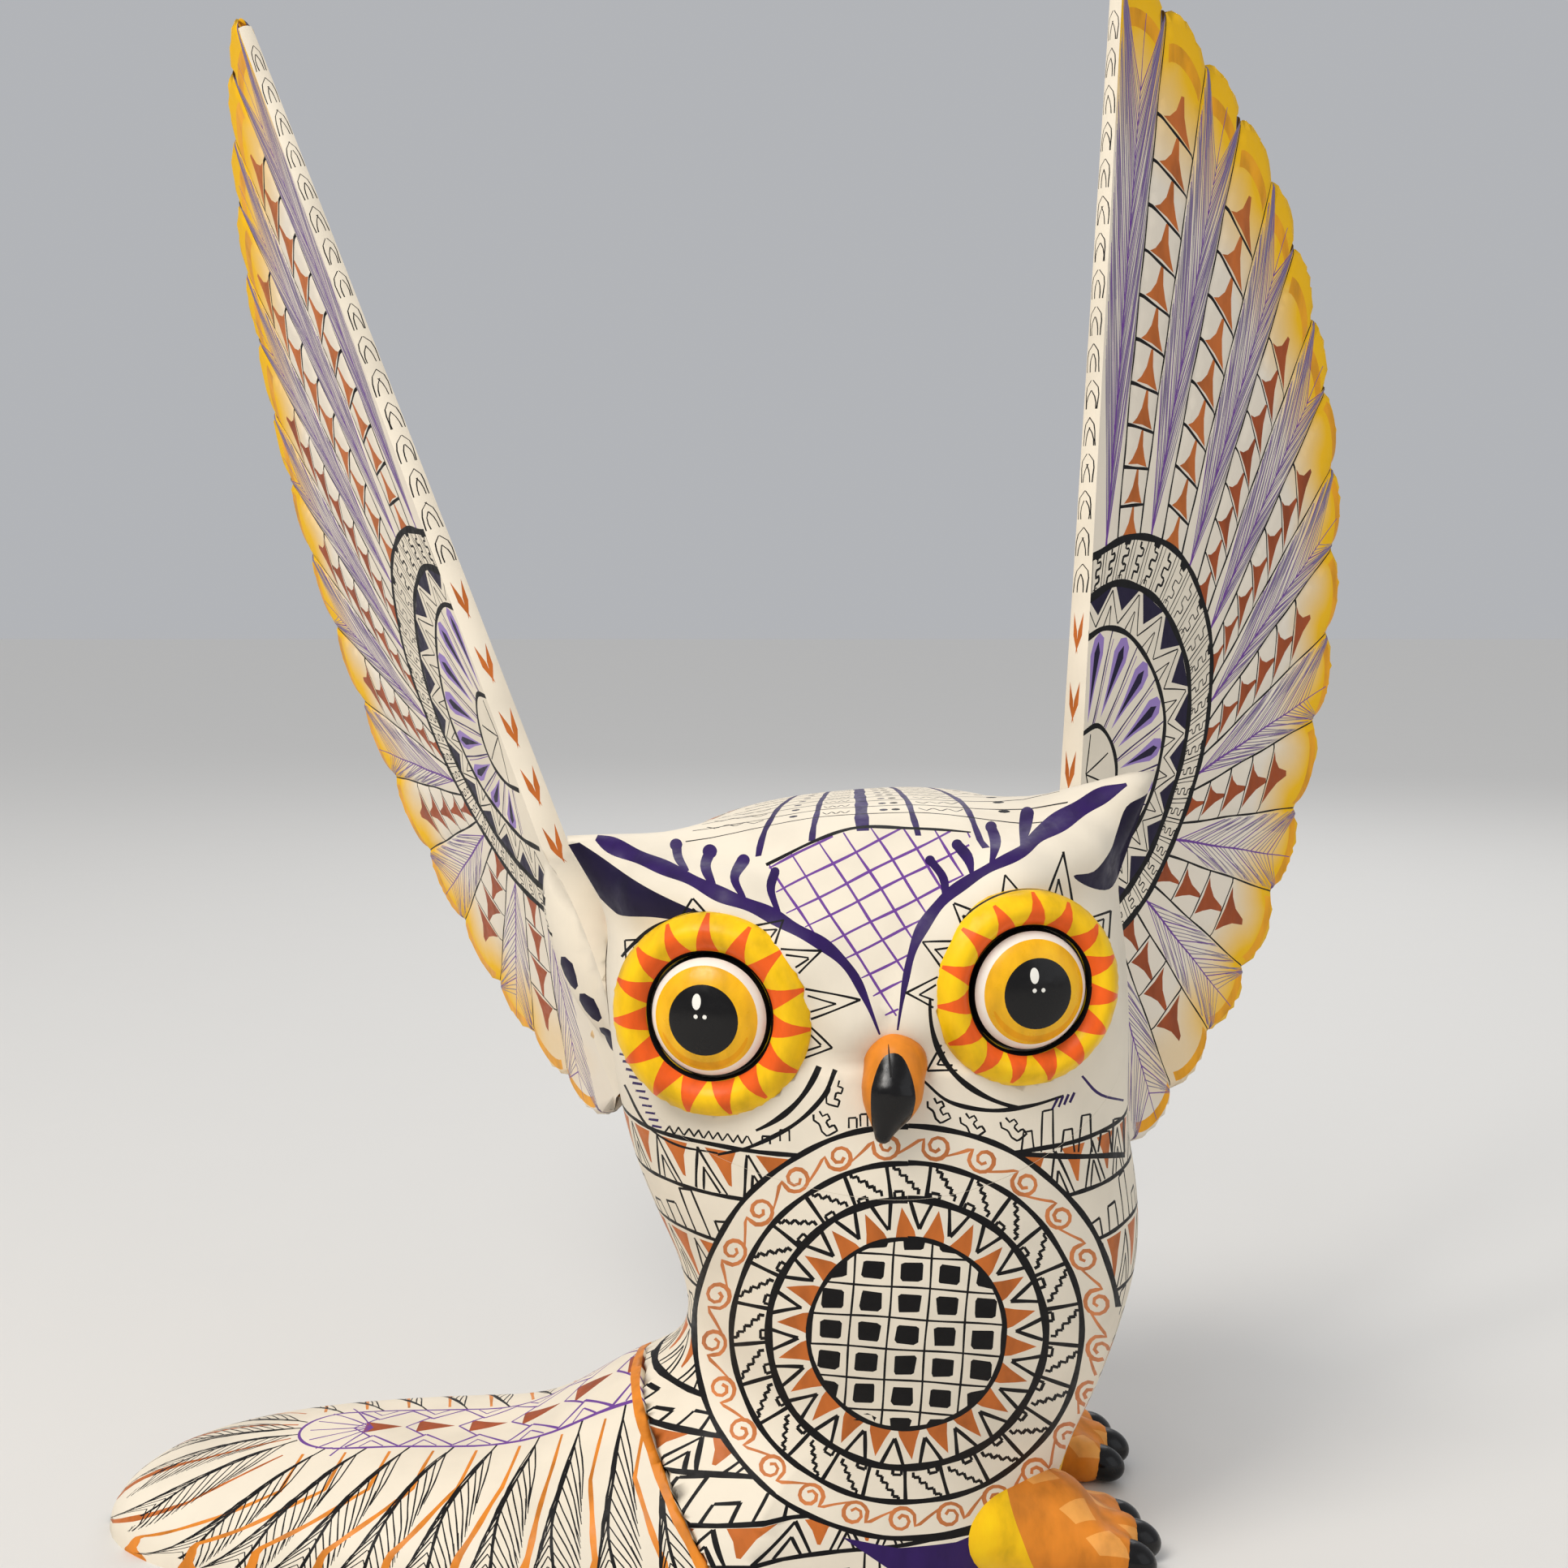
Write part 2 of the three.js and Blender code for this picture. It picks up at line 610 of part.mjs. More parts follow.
function footField(size) {
  const heel = new THREE.Vector3(...size.ankle, ANKLE_HEIGHT);
  const shin = new THREE.Vector3(heel.x + SHIN.length, heel.y, ANKLE_HEIGHT - SHIN.drop);
  const toes = [-1, 0, 1].map((place) => toeAt(size, place));
  return (point) => {
    let field = rodDistance(point, heel, shin, ANKLE_RADIUS, ANKLE_RADIUS - SHIN.taper);
    for (const { knuckle, end, claw } of toes) {
      field = blend(field, rodDistance(point, knuckle, end, TOE_RADIUS + 2, TOE_RADIUS), TOE_FILLET);
      field = blend(field, rodDistance(point, end, claw, CLAW_RADIUS, CLAW_TIP_RADIUS), CLAW_FILLET);
    }
    return field;
  };
}

function foot(name, bodyEnvelope) {
  const place = FOOT[name];
  const centre = new THREE.Vector3(place.ankle[0] + SHIN.length + 2, place.ankle[1], ANKLE_HEIGHT / 2 + 0.5);
  return carve(centre, FOOT_STRETCH, footField(place), FOOT_GRID, FOOT_REACH)
    .subtract(belowTable)
    .subtract(bodyEnvelope)
    .subtract(socket(legDowels[name]));
}

// ---------- assembly ----------

const belowTable = halfSpace(new THREE.Vector3(), up.clone().negate(), 0);
const bodyCentre = new THREE.Vector3(-4, 0, NECK_HEIGHT * 0.6);
const block = carve(bodyCentre, BODY_STRETCH, bodyField, BODY_GRID, BODY_REACH).subtract(belowTable);
const bodyEnvelope = carve(
  bodyCentre, BODY_STRETCH, (point) => bodyField(point) - CLEARANCE, BODY_GRID, BODY_REACH,
);

function head() {
  let solid = block.subtract(halfSpace(HEAD, neckNormal.clone().negate(), -CLEARANCE / 2));
  for (const side of ['left', 'right']) solid = solid.subtract(eyeSeat(side));
  return solid.subtract(socket(neckDowel)).subtract(beakSeat());
}

function torso() {
  let solid = block
    .subtract(halfSpace(HEAD, neckNormal, -CLEARANCE / 2))
    .subtract(halfSpace(tailPoint, tailNormal, -CLEARANCE / 2))
    .subtract(socket(neckDowel))
    .subtract(beakSeat());
  for (const side of ['left', 'right']) {
    solid = solid.subtract(eyeSeat(side));
    for (const peg of pegsOf(side)) solid = solid.subtract(socket(peg));
  }
  for (const name of ['front', 'back']) {
    solid = solid.subtract(socket(tailDowels[name])).subtract(socket(legDowels[name]));
  }
  return solid;
}

function tail() {
  const middle = new THREE.Vector3(RUMP.x - TAIL_LENGTH * 0.45, 0, TAIL_HEIGHT / 5);
  let solid = carve(middle, TAIL_STRETCH, bodyField, TAIL_GRID, BODY_REACH)
    .subtract(belowTable)
    .subtract(halfSpace(tailPoint, tailNormal.clone().negate(), -CLEARANCE / 2));
  for (const name of ['front', 'back']) solid = solid.subtract(socket(tailDowels[name]));
  return solid;
}

// ---------- materials and the scene graph ----------

const paintedWood = (color) => new THREE.MeshStandardMaterial({ color, roughness: 0.55, metalness: 0 });

const group = new THREE.Group();

function place(name, solid, material) {
  const mesh = new THREE.Mesh(toGeometry(solid), material);
  mesh.name = name;
  group.add(mesh);
}

function placeRod(name, piece) {
  place(name, rod(piece.start, piece.end, piece.radius), paintedWood(0xc49a6c));
}

place('torso', torso(), paintedWood(0xeee4cf));
place('head', head(), paintedWood(0xefe6d2));
place('tail', tail(), paintedWood(0xe9ddc6));
placeRod('neck_dowel', neckDowel);
for (const name of ['front', 'back']) {
  placeRod(`tail_dowel_${name}`, tailDowels[name]);
  placeRod(`leg_dowel_${name}`, legDowels[name]);
  place(`foot_${name}`, foot(name, bodyEnvelope), paintedWood(0xe38a26));
}
for (const side of ['left', 'right']) {
  place(`eye_ring_${side}`, eyeRing(side), paintedWood(0xf2b01e));
  place(`eyeball_${side}`, eyeball(side), paintedWood(0x141014));
  place(`wing_${side}`, wing(side, bodyEnvelope), paintedWood(0xf0e6d0));
  for (const level of ['upper', 'lower']) placeRod(`wing_peg_${side}_${level}`, wingPegs[`${side}_${level}`]);
}
place('beak', beak(), paintedWood(0x100d10));

export default group;
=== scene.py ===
"""A painted wooden owl with raised wings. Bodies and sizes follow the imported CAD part.

Lengths are millimetres while shapes are worked out, and each finished mesh is scaled to metres.
The face and breast look along -Y, the tail lies along -X. Left and right are those of someone facing the owl.
Paint is drawn flat, as the marks of a Design, and then wrapped onto each carved piece.
"""

import json
import math
import random

import bpy
import numpy as np
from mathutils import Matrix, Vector
from mathutils.geometry import delaunay_2d_cdt


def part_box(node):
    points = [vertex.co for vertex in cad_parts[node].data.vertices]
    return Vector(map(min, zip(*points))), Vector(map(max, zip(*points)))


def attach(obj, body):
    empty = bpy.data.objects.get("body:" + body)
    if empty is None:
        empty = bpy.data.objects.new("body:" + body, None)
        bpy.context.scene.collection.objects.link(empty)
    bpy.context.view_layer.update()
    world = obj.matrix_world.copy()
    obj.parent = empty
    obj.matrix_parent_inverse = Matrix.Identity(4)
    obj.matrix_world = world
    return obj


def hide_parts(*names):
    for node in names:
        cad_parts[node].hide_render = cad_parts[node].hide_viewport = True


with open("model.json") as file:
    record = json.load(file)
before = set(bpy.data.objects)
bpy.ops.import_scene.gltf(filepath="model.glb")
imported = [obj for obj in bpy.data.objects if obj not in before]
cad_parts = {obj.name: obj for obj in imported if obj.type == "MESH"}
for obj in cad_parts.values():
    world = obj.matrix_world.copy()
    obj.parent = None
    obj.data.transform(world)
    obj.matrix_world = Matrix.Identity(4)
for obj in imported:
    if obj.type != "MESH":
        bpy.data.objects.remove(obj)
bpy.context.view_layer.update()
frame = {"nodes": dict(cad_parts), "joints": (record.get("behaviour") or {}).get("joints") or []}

MM = 0.001
BODY = "owl"
WINGS = ("left", "right")
SIDES = (-1, 1)
SEAM_GAP = 0.3                 # between the carved blocks
TINY = 1e-9

# ---------- the carved shape, the same as the CAD part's ----------

HEAD = np.array([-6.0, 0.0, 142.0])
HEAD_HALF = {"width": 64.0, "depth": 55.5, "up": 45.0, "down": 85.0}
HEAD_SQUARENESS = 2.5
HEAD_ROLL = 4.7
HEAD_TURN = 3.0
NECK_SLOPE = 35.0
EAR_ROOT = (42.0, -13.0, 23.0)
EAR_TIP = {-1: (-68.0, -22.0, 42.0), 1: (70.0, -22.0, 46.0)}
EAR_RADII = (20, 2)
BROW_POINTS = [(50, -28, 30), (32, -40, 25), (17, -48, 14), (7, -51, 0)]
BROW_RADIUS = 7.5
BELLY_X = 5.0
BELLY = {"foot": 24, "swell": 36.5, "full_at": 104, "fullness": 0.8, "flatness": 0.96, "top": 128}
LEAN = (65, 140)               # between these levels the belly's middle moves over to the head's
RUMP_X = -40.0
RUMP = {"behind": 45.0, "ahead": 80.0, "half_width": 49, "height": 46, "squareness": 2.2}
TAIL_LENGTH = 158.0
TAIL_HALF_WIDTH = 50.0
TAIL_HEIGHT = 24.5
TAIL_ROUNDNESS = {"width": 2.6, "height": 6, "section": 2.4}
TAIL_JOINT_X = -36.0
TAIL_JOINT_SLOPE = 32.0
FILLET = {"ear": 9, "brow": 6, "neck": 6, "rump": 24, "belly": 20}


def cos_sin(degrees):
    return math.cos(math.radians(degrees)), math.sin(math.radians(degrees))


def unit_rows(vectors):
    return vectors / np.maximum(np.linalg.norm(vectors, axis=1, keepdims=True), TINY)


def smooth_step(low, high, value):
    t = np.clip((value - low) / (high - low), 0, 1)
    return t * t * (3 - 2 * t)


def blend(a, b, size):
    """Joins two fields with a fillet of about the given size."""
    overlap = np.maximum(size - np.abs(a - b), 0) / size
    return np.minimum(a, b) - overlap * overlap * size / 4


def rod_distance(p, start, end, start_radius, end_radius):
    start, end = np.array(start, float), np.array(end, float)
    along = end - start
    t = np.clip((p - start) @ along / (along @ along), 0, 1)
    nearest = start + t[:, None] * along
    return np.linalg.norm(p - nearest, axis=1) - (start_radius + (end_radius - start_radius) * t)


def block_distance(x, y, z, half_x, half_y, half_z, squareness):
    size = np.abs(x / half_x) ** squareness
    size = size + np.abs(y / half_y) ** squareness + np.abs(z / half_z) ** squareness
    scale = np.maximum(size, TINY) ** (1 / squareness)
    return np.sqrt(x * x + y * y + z * z) * (1 - 1 / scale)


def turn_z(angle):
    c, s = cos_sin(angle)
    return np.array([[c, -s, 0], [s, c, 0], [0, 0, 1]])


def turn_y(angle):
    c, s = cos_sin(angle)
    return np.array([[c, 0, s], [0, 1, 0], [-s, 0, c]])


HEAD_AXES = turn_z(HEAD_TURN) @ turn_y(-HEAD_ROLL)


def centre_line(z):
    return BELLY_X + (HEAD[0] - BELLY_X) * smooth_step(*LEAN, z)


def belly_field(p):
    level = np.maximum(p[:, 2], 0) / BELLY["full_at"]
    radius = BELLY["foot"] + BELLY["swell"] * np.sin(math.pi / 2 * level ** BELLY["fullness"])
    out = np.hypot(p[:, 0] - centre_line(p[:, 2]), p[:, 1] / BELLY["flatness"]) - radius
    return np.maximum(out, p[:, 2] - BELLY["top"])


def rump_field(p):
    half_length = np.where(p[:, 0] < RUMP_X, RUMP["behind"], RUMP["ahead"])
    sizes = (half_length, RUMP["half_width"], RUMP["height"])
    return block_distance(p[:, 0] - RUMP_X, p[:, 1], p[:, 2], *sizes, RUMP["squareness"])


def tail_field(p):
    reach = (RUMP_X - p[:, 0]) / TAIL_LENGTH
    ahead = np.maximum(reach, 0)
    half_width = TAIL_HALF_WIDTH * np.sqrt(np.maximum(1 - ahead ** TAIL_ROUNDNESS["width"], 1e-4))
    height = TAIL_HEIGHT * np.sqrt(np.maximum(1 - ahead ** TAIL_ROUNDNESS["height"], 1e-4))
    side = block_distance(0 * reach, p[:, 1], p[:, 2], 1, half_width, height, TAIL_ROUNDNESS["section"])
    return np.maximum(np.maximum(side, (reach - 1) * TAIL_LENGTH), p[:, 0] - RUMP_X)


def head_field(p):
    local = (p - HEAD) @ HEAD_AXES
    up = np.where(local[:, 2] > 0, HEAD_HALF["up"], HEAD_HALF["down"])
    field = block_distance(*local.T, HEAD_HALF["width"], HEAD_HALF["depth"], up, HEAD_SQUARENESS)
    for side in SIDES:
        root = (side * EAR_ROOT[0], *EAR_ROOT[1:])
        ear = blend(field, rod_distance(local, root, EAR_TIP[side], *EAR_RADII), FILLET["ear"])
        field = np.where(np.sign(local[:, 0]) == side, ear, field)
    mirrored = np.column_stack([np.abs(local[:, 0]), local[:, 1:]])
    for start, end in zip(BROW_POINTS, BROW_POINTS[1:]):
        field = blend(field, rod_distance(mirrored, start, end, BROW_RADIUS, BROW_RADIUS), FILLET["brow"])
    return field


def body_field(p):
    upper = blend(belly_field(p), head_field(p), FILLET["neck"])
    lower = blend(rump_field(p), tail_field(p), FILLET["rump"])
    return blend(upper, lower, FILLET["belly"])


def beyond_tail_joint(p):
    c, s = cos_sin(TAIL_JOINT_SLOPE)
    return -(p[:, 0] - TAIL_JOINT_X) * c - p[:, 2] * s


def torso_field(p):
    return np.maximum(body_field(p), beyond_tail_joint(p) + SEAM_GAP / 2)


def tail_piece_field(p):
    return np.maximum(body_field(p), SEAM_GAP / 2 - beyond_tail_joint(p))


def gradient(field, p, step=0.2):
    """Unit outward normals of a field at points on its surface."""
    return unit_rows(np.stack([field(p + d) - field(p - d) for d in np.eye(3) * step], axis=1))


def stepped(passes, count, start, reach, step, missed):
    """Steps along each ray: the last distance that passes a test, and the first that doesn't."""
    near, far = np.full(count, float(start)), np.full(count, float(missed))
    going = np.arange(count)
    distance = float(start)
    while len(going) and distance < reach:
        distance += step
        passed = passes(distance, going)
        near[going[passed]] = distance
        far[going[~passed]] = distance
        going = going[passed]
    return near, far


def halved(passes, near, far, rounds=16):
    """Closes in on the distance along each ray at which it stops passing a test."""
    for _ in range(rounds):
        middle = (near + far) / 2
        passed = passes(middle[:, None])
        near = np.where(passed, middle, near)
        far = np.where(passed, far, middle)
    return near, far


def cast(origin, direction, field, reach=240.0, step=4.0):
    """Distance along each ray at which it first leaves the field."""
    def inside(distance, rays=slice(None)):
        return field(origin[rays] + direction[rays] * distance) < 0
    near, far = halved(inside, *stepped(inside, len(origin), 1.0, reach, step, reach))
    return (near + far) / 2


# ---------- charts: flat drawing coordinates to places on the surface and back ----------

TORSO_SCALE = 60.0             # chart millimetres per radian around the body
HEAD_SCALE = 60.0
TAIL_SCALE = 45.0
HEAD_POLE = np.array([0.0, -cos_sin(NECK_SLOPE)[1], cos_sin(NECK_SLOPE)[0]])
HEAD_UP = np.array([0.0, HEAD_POLE[2], -HEAD_POLE[1]])
HEAD_RIM = HEAD_SCALE * math.radians(89.97)


def girdle_rays(flat):
    """Rays out from the belly's middle: the chart holds the turn round it and the level."""
    angle, z = flat[:, 0] / TORSO_SCALE, flat[:, 1]
    out = np.column_stack([np.sin(angle), -np.cos(angle), 0 * z])
    return np.column_stack([centre_line(z), 0 * z, z]), out


def tail_rays(flat):
    """Rays out from the line under the tail: the chart holds the place along it and the turn round it."""
    x, turn = flat[:, 0], flat[:, 1] / TAIL_SCALE
    out = np.column_stack([0 * x, TAIL_HALF_WIDTH * np.sin(turn), TAIL_HEIGHT * np.cos(turn)])
    return np.column_stack([x, 0 * x, 0 * x]), unit_rows(out)


def polar_rays(centre, pole, across, up, scale):
    """Rays out from a centre, for a chart that is flattened about a pole."""
    def rays(flat):
        turn = (np.linalg.norm(flat, axis=1) / scale)[:, None]
        unit = unit_rows(flat)
        sideways = unit[:, :1] * across + unit[:, 1:] * up
        return np.repeat(centre[None], len(flat), axis=0), np.cos(turn) * pole + np.sin(turn) * sideways
    return rays


def landing(rays, field, **march):
    """The places where the rays of a chart leave a field."""
    def place(flat):
        origin, direction = rays(flat)
        return origin + direction * cast(origin, direction, field, **march)[:, None]
    return place


def skin_of(rays, field, **march):
    """Like landing, with the outward normals as well."""
    place = landing(rays, field, **march)

    def surface(flat):
        p = place(flat)
        return p, gradient(field, p)
    return surface


crown_rays = polar_rays(HEAD, HEAD_POLE, np.array([1.0, 0, 0]), HEAD_UP, HEAD_SCALE)
torso_surface = skin_of(girdle_rays, torso_field)
head_surface = skin_of(crown_rays, body_field)
tail_surface = skin_of(tail_rays, tail_piece_field)
on_girdle, on_crown, on_tail = (landing(rays, body_field) for rays in (girdle_rays, crown_rays, tail_rays))


def torso_flat(p):
    angle = np.arctan2(p[:, 0] - centre_line(p[:, 2]), -p[:, 1])
    return np.stack([angle * TORSO_SCALE, p[:, 2]], axis=1)


def head_flat(p):
    direction = (p - HEAD) / np.linalg.norm(p - HEAD, axis=1, keepdims=True)
    alpha = np.arccos(np.clip(direction @ HEAD_POLE, -1, 1))
    across = np.stack([direction[:, 0], direction @ HEAD_UP], axis=1)
    return unit_rows(across) * (alpha * HEAD_SCALE)[:, None]


def tail_flat(p):
    turn = np.arctan2(p[:, 1] / TAIL_HALF_WIDTH, p[:, 2] / TAIL_HEIGHT)
    return np.stack([p[:, 0], turn * TAIL_SCALE], axis=1)


# The painter's viewpoint, for designs laid out as they look from the front.
# A design's (x, z) is where its line of sight crosses the plane y = SIGHT_PLANE.
PAINTER_EYE = np.array([-26.0, -530.0, 245.0])
SIGHT_PLANE = -55.0
SIGHT_START = 400.0             # the body lies between these distances from the painter
SIGHT_END = 720.0


def sighted(points):
    """Where lines of sight through design points first meet the body. One that misses stays at SIGHT_START."""
    target = np.column_stack([points[:, 0], np.full(len(points), SIGHT_PLANE), points[:, 1]])
    direction = unit_rows(target - PAINTER_EYE)

    def outside(distance, rays=slice(None)):
        return body_field(PAINTER_EYE + direction[rays] * distance) >= 0
    start = stepped(outside, len(points), SIGHT_START, SIGHT_END, 3, SIGHT_START)
    _, far = halved(outside, *start, rounds=14)
    return PAINTER_EYE + direction * far[:, None]


# ---------- painting ----------

STROKE_STEP = 1.3              # spacing of points along a brushed line
WOBBLE = 0.12                  # how far the painter's hand strays from a line
TAPER = 0.35                   # the share of a line over which each end tapers
hand = random.Random(7)


def spline(p, per):
    """A smooth line through all the points but the first and last, which only steer its ends."""
    out = []
    for a, b, c, d in zip(p, p[1:], p[2:], p[3:]):
        for t in np.arange(per) / per:
            out.append(0.5 * (2 * b + (c - a) * t + (2 * a - 5 * b + 4 * c - d) * t ** 2
                              + (3 * b - a - 3 * c + d) * t ** 3))
    return np.array([*out, p[-2]])


def curve(points, per=6):
    """A smooth line through the points."""
    p = np.asarray(points, float)
    return spline(np.vstack([2 * p[0] - p[1], p, 2 * p[-1] - p[-2]]), per)


def run_lengths(p):
    """How far along a line each of its points lies."""
    return np.concatenate([[0], np.cumsum(np.linalg.norm(np.diff(p[:, :2], axis=0), axis=1))])


def picked(p, at):
    """The points at the given distances along a line. A third number, such as a width, goes with them."""
    lengths = run_lengths(p)
    return np.stack([np.interp(at, lengths, column) for column in p.T], axis=1)


def resampled(points, step):
    p = np.asarray(points, float)
    length = run_lengths(p)[-1]
    return picked(p, np.linspace(0, length, max(2, int(math.ceil(length / step)) + 1)))


def arc(centre, radius, start, end, step=1.2):
    """Points on an arc, angles in degrees."""
    count = max(3, int(abs(end - start) / 360 * 2 * math.pi * radius / step) + 2)
    angles = np.radians(np.linspace(start, end, count))
    return np.stack([centre[0] + radius * np.cos(angles), centre[1] + radius * np.sin(angles)], axis=1)


def oval(x, y, half_width, half_height, step):
    """The outline of a small spot; step is the turn between its points, in radians."""
    return [(x + half_width * math.cos(a), y + half_height * math.sin(a)) for a in np.arange(0, 6.2, step)]


def closed(points, step):
    """A polygon's outline with points added along its edges. Every given point is kept."""
    p = np.asarray(points, float)
    out = []
    for a, b in zip(p, np.roll(p, -1, axis=0)):
        count = max(1, int(math.ceil(np.linalg.norm(b - a) / step)))
        out.extend(a + (b - a) * (i / count) for i in range(count))
    return np.array(out)


class Design:
    """Flat marks in the order they are painted: an outline, its paint and the layout it is drawn in."""

    def __init__(self, layout=None):
        self.marks = []
        self.layout = layout

    def fill(self, points, paint):
        self.marks.append((closed(points, 2.0), paint, self.layout))

    def stroke(self, points, width, paint, ends=(1.0, 1.0), step=STROKE_STEP, wobble=WOBBLE):
        """A brushed line. The width may vary from point to point as the points' third number."""
        p = resampled(points, step)
        count = len(p)
        share = np.linspace(0, 1, count)
        length = count * step
        sway = hand.uniform(0, 6.3)
        along = unit_rows(np.gradient(p[:, :2], axis=0))
        across = np.stack([-along[:, 1], along[:, 0]], axis=1)
        centre = p[:, :2] + across * (wobble * np.sin(share * length / 4.3 + sway))[:, None]
        half = (p[:, 2] if p.shape[1] > 2 else np.full(count, width)) / 2
        half = half * (1 + 0.13 * np.sin(share * length / 2.1 + sway * 2))
        for end, reach in zip(ends, (share, 1 - share)):
            half = half * (end + (1 - end) * np.clip(reach / TAPER, 0, 1) ** 0.7)
        left, right = centre + across * half[:, None], centre - across * half[:, None]
        for i in range(count - 1):
            self.marks.append((np.array([left[i], right[i], right[i + 1], left[i + 1]]), paint, self.layout))

    def chain(self, points, width, paint, **more):
        """Separate brushed lines, each from one point to the next."""
        for a, b in zip(points, points[1:]):
            self.stroke([a, b], width, paint, **more)


class Band:
    """A strip between two curves. A place in it is a share t of its length and a share w of its width."""

    def __init__(self, inner, outer, count=240):
        self.inner, self.outer = (self.even(np.asarray(line, float), count) for line in (inner, outer))

    @staticmethod
    def even(line, count):
        return picked(line, np.linspace(0, run_lengths(line)[-1], count))

    def at(self, t, w):
        index = np.linspace(0, 1, len(self.inner))
        edges = (self.inner, self.outer)
        inner, outer = (np.stack([np.interp(t, index, c) for c in edge.T], axis=-1) for edge in edges)
        return inner + (outer - inner) * np.asarray(w, float)[..., None]

    def cells(self, count, start=0.0, end=1.0):
        """A function for each of the equal cells: it places points given in the cell's own unit square."""
        size = (end - start) / count
        for i in range(count):
            base = start + i * size

            def place(points, base=base):
                p = np.asarray(points, float)
                return self.at(base + p[:, 0] * size, p[:, 1])
            yield place


def crossed(a, b):
    return a[..., 0] * b[..., 1] - a[..., 1] * b[..., 0]


def anticlockwise(outline):
    p = np.asarray(outline, float)
    return p if crossed(p, np.roll(p, -1, axis=0)).sum() >= 0 else p[::-1]


def sound_parts(mark):
    """A brushed patch whose outline crosses or folds is split into triangles, which can't."""
    outline, paint = anticlockwise(mark[0]), mark[1]
    edges = np.roll(outline, -1, axis=0) - outline
    if len(outline) != 4 or (crossed(edges, np.roll(edges, -1, axis=0)) > 1e-6).all():
        return [(outline, paint)]
    halves = [outline[list(chosen)] for chosen in ((0, 1, 2), (0, 2, 3))]
    return [(anticlockwise(h), paint) for h in halves if abs(crossed(h[1] - h[0], h[2] - h[0])) > 1e-4]


def filling(region, spacing):
    """Staggered points all over a region, which keep its triangles small."""
    low, high = np.min(region, axis=0), np.max(region, axis=0)
    xs = np.arange(low[0], high[0], spacing) + 0.31 * spacing
    ys = np.arange(low[1], high[1], spacing * 0.87) + 0.37 * spacing
    return np.array([(x + (j % 2) * spacing / 2, y) for j, y in enumerate(ys) for x in xs])


def topmost(flat, triangles, sources, outlines, first_mark):
    """The triangles in the region and out of its holes, each with its last mark. Bare ground has a minus."""
    lows = np.array([outline.min(0) for outline in outlines])
    highs = np.array([outline.max(0) for outline in outlines])
    kept, tops = [], []
    for triangle, source in zip(triangles, sources):
        middle = flat[triangle].mean(0)
        covering = [s for s in source if (lows[s] <= middle).all() and (middle <= highs[s]).all()]
        if 1 in covering and not any(2 <= s < first_mark for s in covering):
            kept.append(triangle)
            tops.append(max(covering) - first_mark)
    return np.array(kept), tops


def wrap(name, marks, region, surface, spacing, ground, shade=None, holes=()):
    """Cuts the flat region along every mark, wraps it onto the surface and gives each mark its paint."""
    marks = [part for mark in marks for part in sound_parts(mark)]
    outlines = [*(anticlockwise(o) for o in (region, *holes)), *(outline for outline, _ in marks)]
    every = np.vstack(outlines)
    low, high = every.min(0) - 5, every.max(0) + 5
    outlines.insert(0, np.array([low, [high[0], low[1]], high, [low[0], high[1]]]))
    starts = np.concatenate([[0], np.cumsum([len(o) for o in outlines])])
    faces = [list(range(a, b)) for a, b in zip(starts, starts[1:])]
    points = [Vector(p) for p in np.vstack([*outlines, filling(region, spacing)])]
    verts, _, triangles, _, _, sources = delaunay_2d_cdt(points, [], faces, 1, 1e-5, True)
    flat = np.array([tuple(v) for v in verts])
    kept, tops = topmost(flat, triangles, sources, outlines, 2 + len(holes))
    paints = [marks[top][1] if top >= 0 else ground for top in tops]
    used, triangles = np.unique(kept, return_inverse=True)
    flat = flat[used]
    place, normal = surface(flat)
    return build_mesh(name, place, normal, triangles.reshape(-1, 3), paints, shade and shade(flat))


def build_mesh(name, place, normal, triangles, paints, shade=None):
    corners = place[triangles]
    facing = np.cross(corners[:, 1] - corners[:, 0], corners[:, 2] - corners[:, 0])
    turned = (facing * normal[triangles].sum(axis=1)).sum(axis=1) < 0
    triangles[turned] = triangles[turned][:, ::-1]
    sound = np.linalg.norm(facing, axis=1) > 1e-7
    triangles, paints = triangles[sound], [p for p, ok in zip(paints, sound) if ok]
    mesh = bpy.data.meshes.new(name)
    mesh.vertices.add(len(place))
    mesh.vertices.foreach_set("co", (place * MM).astype(np.float32).ravel())
    mesh.loops.add(triangles.size)
    mesh.loops.foreach_set("vertex_index", triangles.astype(np.int32).ravel())
    mesh.polygons.add(len(triangles))
    mesh.polygons.foreach_set("loop_start", np.arange(0, triangles.size, 3, dtype=np.int32))
    names = sorted(set(paints))
    for paint in names:
        mesh.materials.append(paint_material(paint))
    order = {paint: i for i, paint in enumerate(names)}
    mesh.polygons.foreach_set("material_index", np.array([order[p] for p in paints], np.int32))
    mesh.polygons.foreach_set("use_smooth", np.ones(len(triangles), bool))
    if shade is not None:
        mesh.attributes.new("shade", "FLOAT", "POINT").data.foreach_set("value", shade.astype(np.float32))
    mesh.update(calc_edges=True)
    mesh.validate()
    mesh.normals_split_custom_set_from_vertices(normal.tolist())
    return linked(name, mesh)


def linked(name, data):
    thing = bpy.data.objects.new(name, data)
    bpy.context.scene.collection.objects.link(thing)
    return thing


# ---------- paints and wood ----------

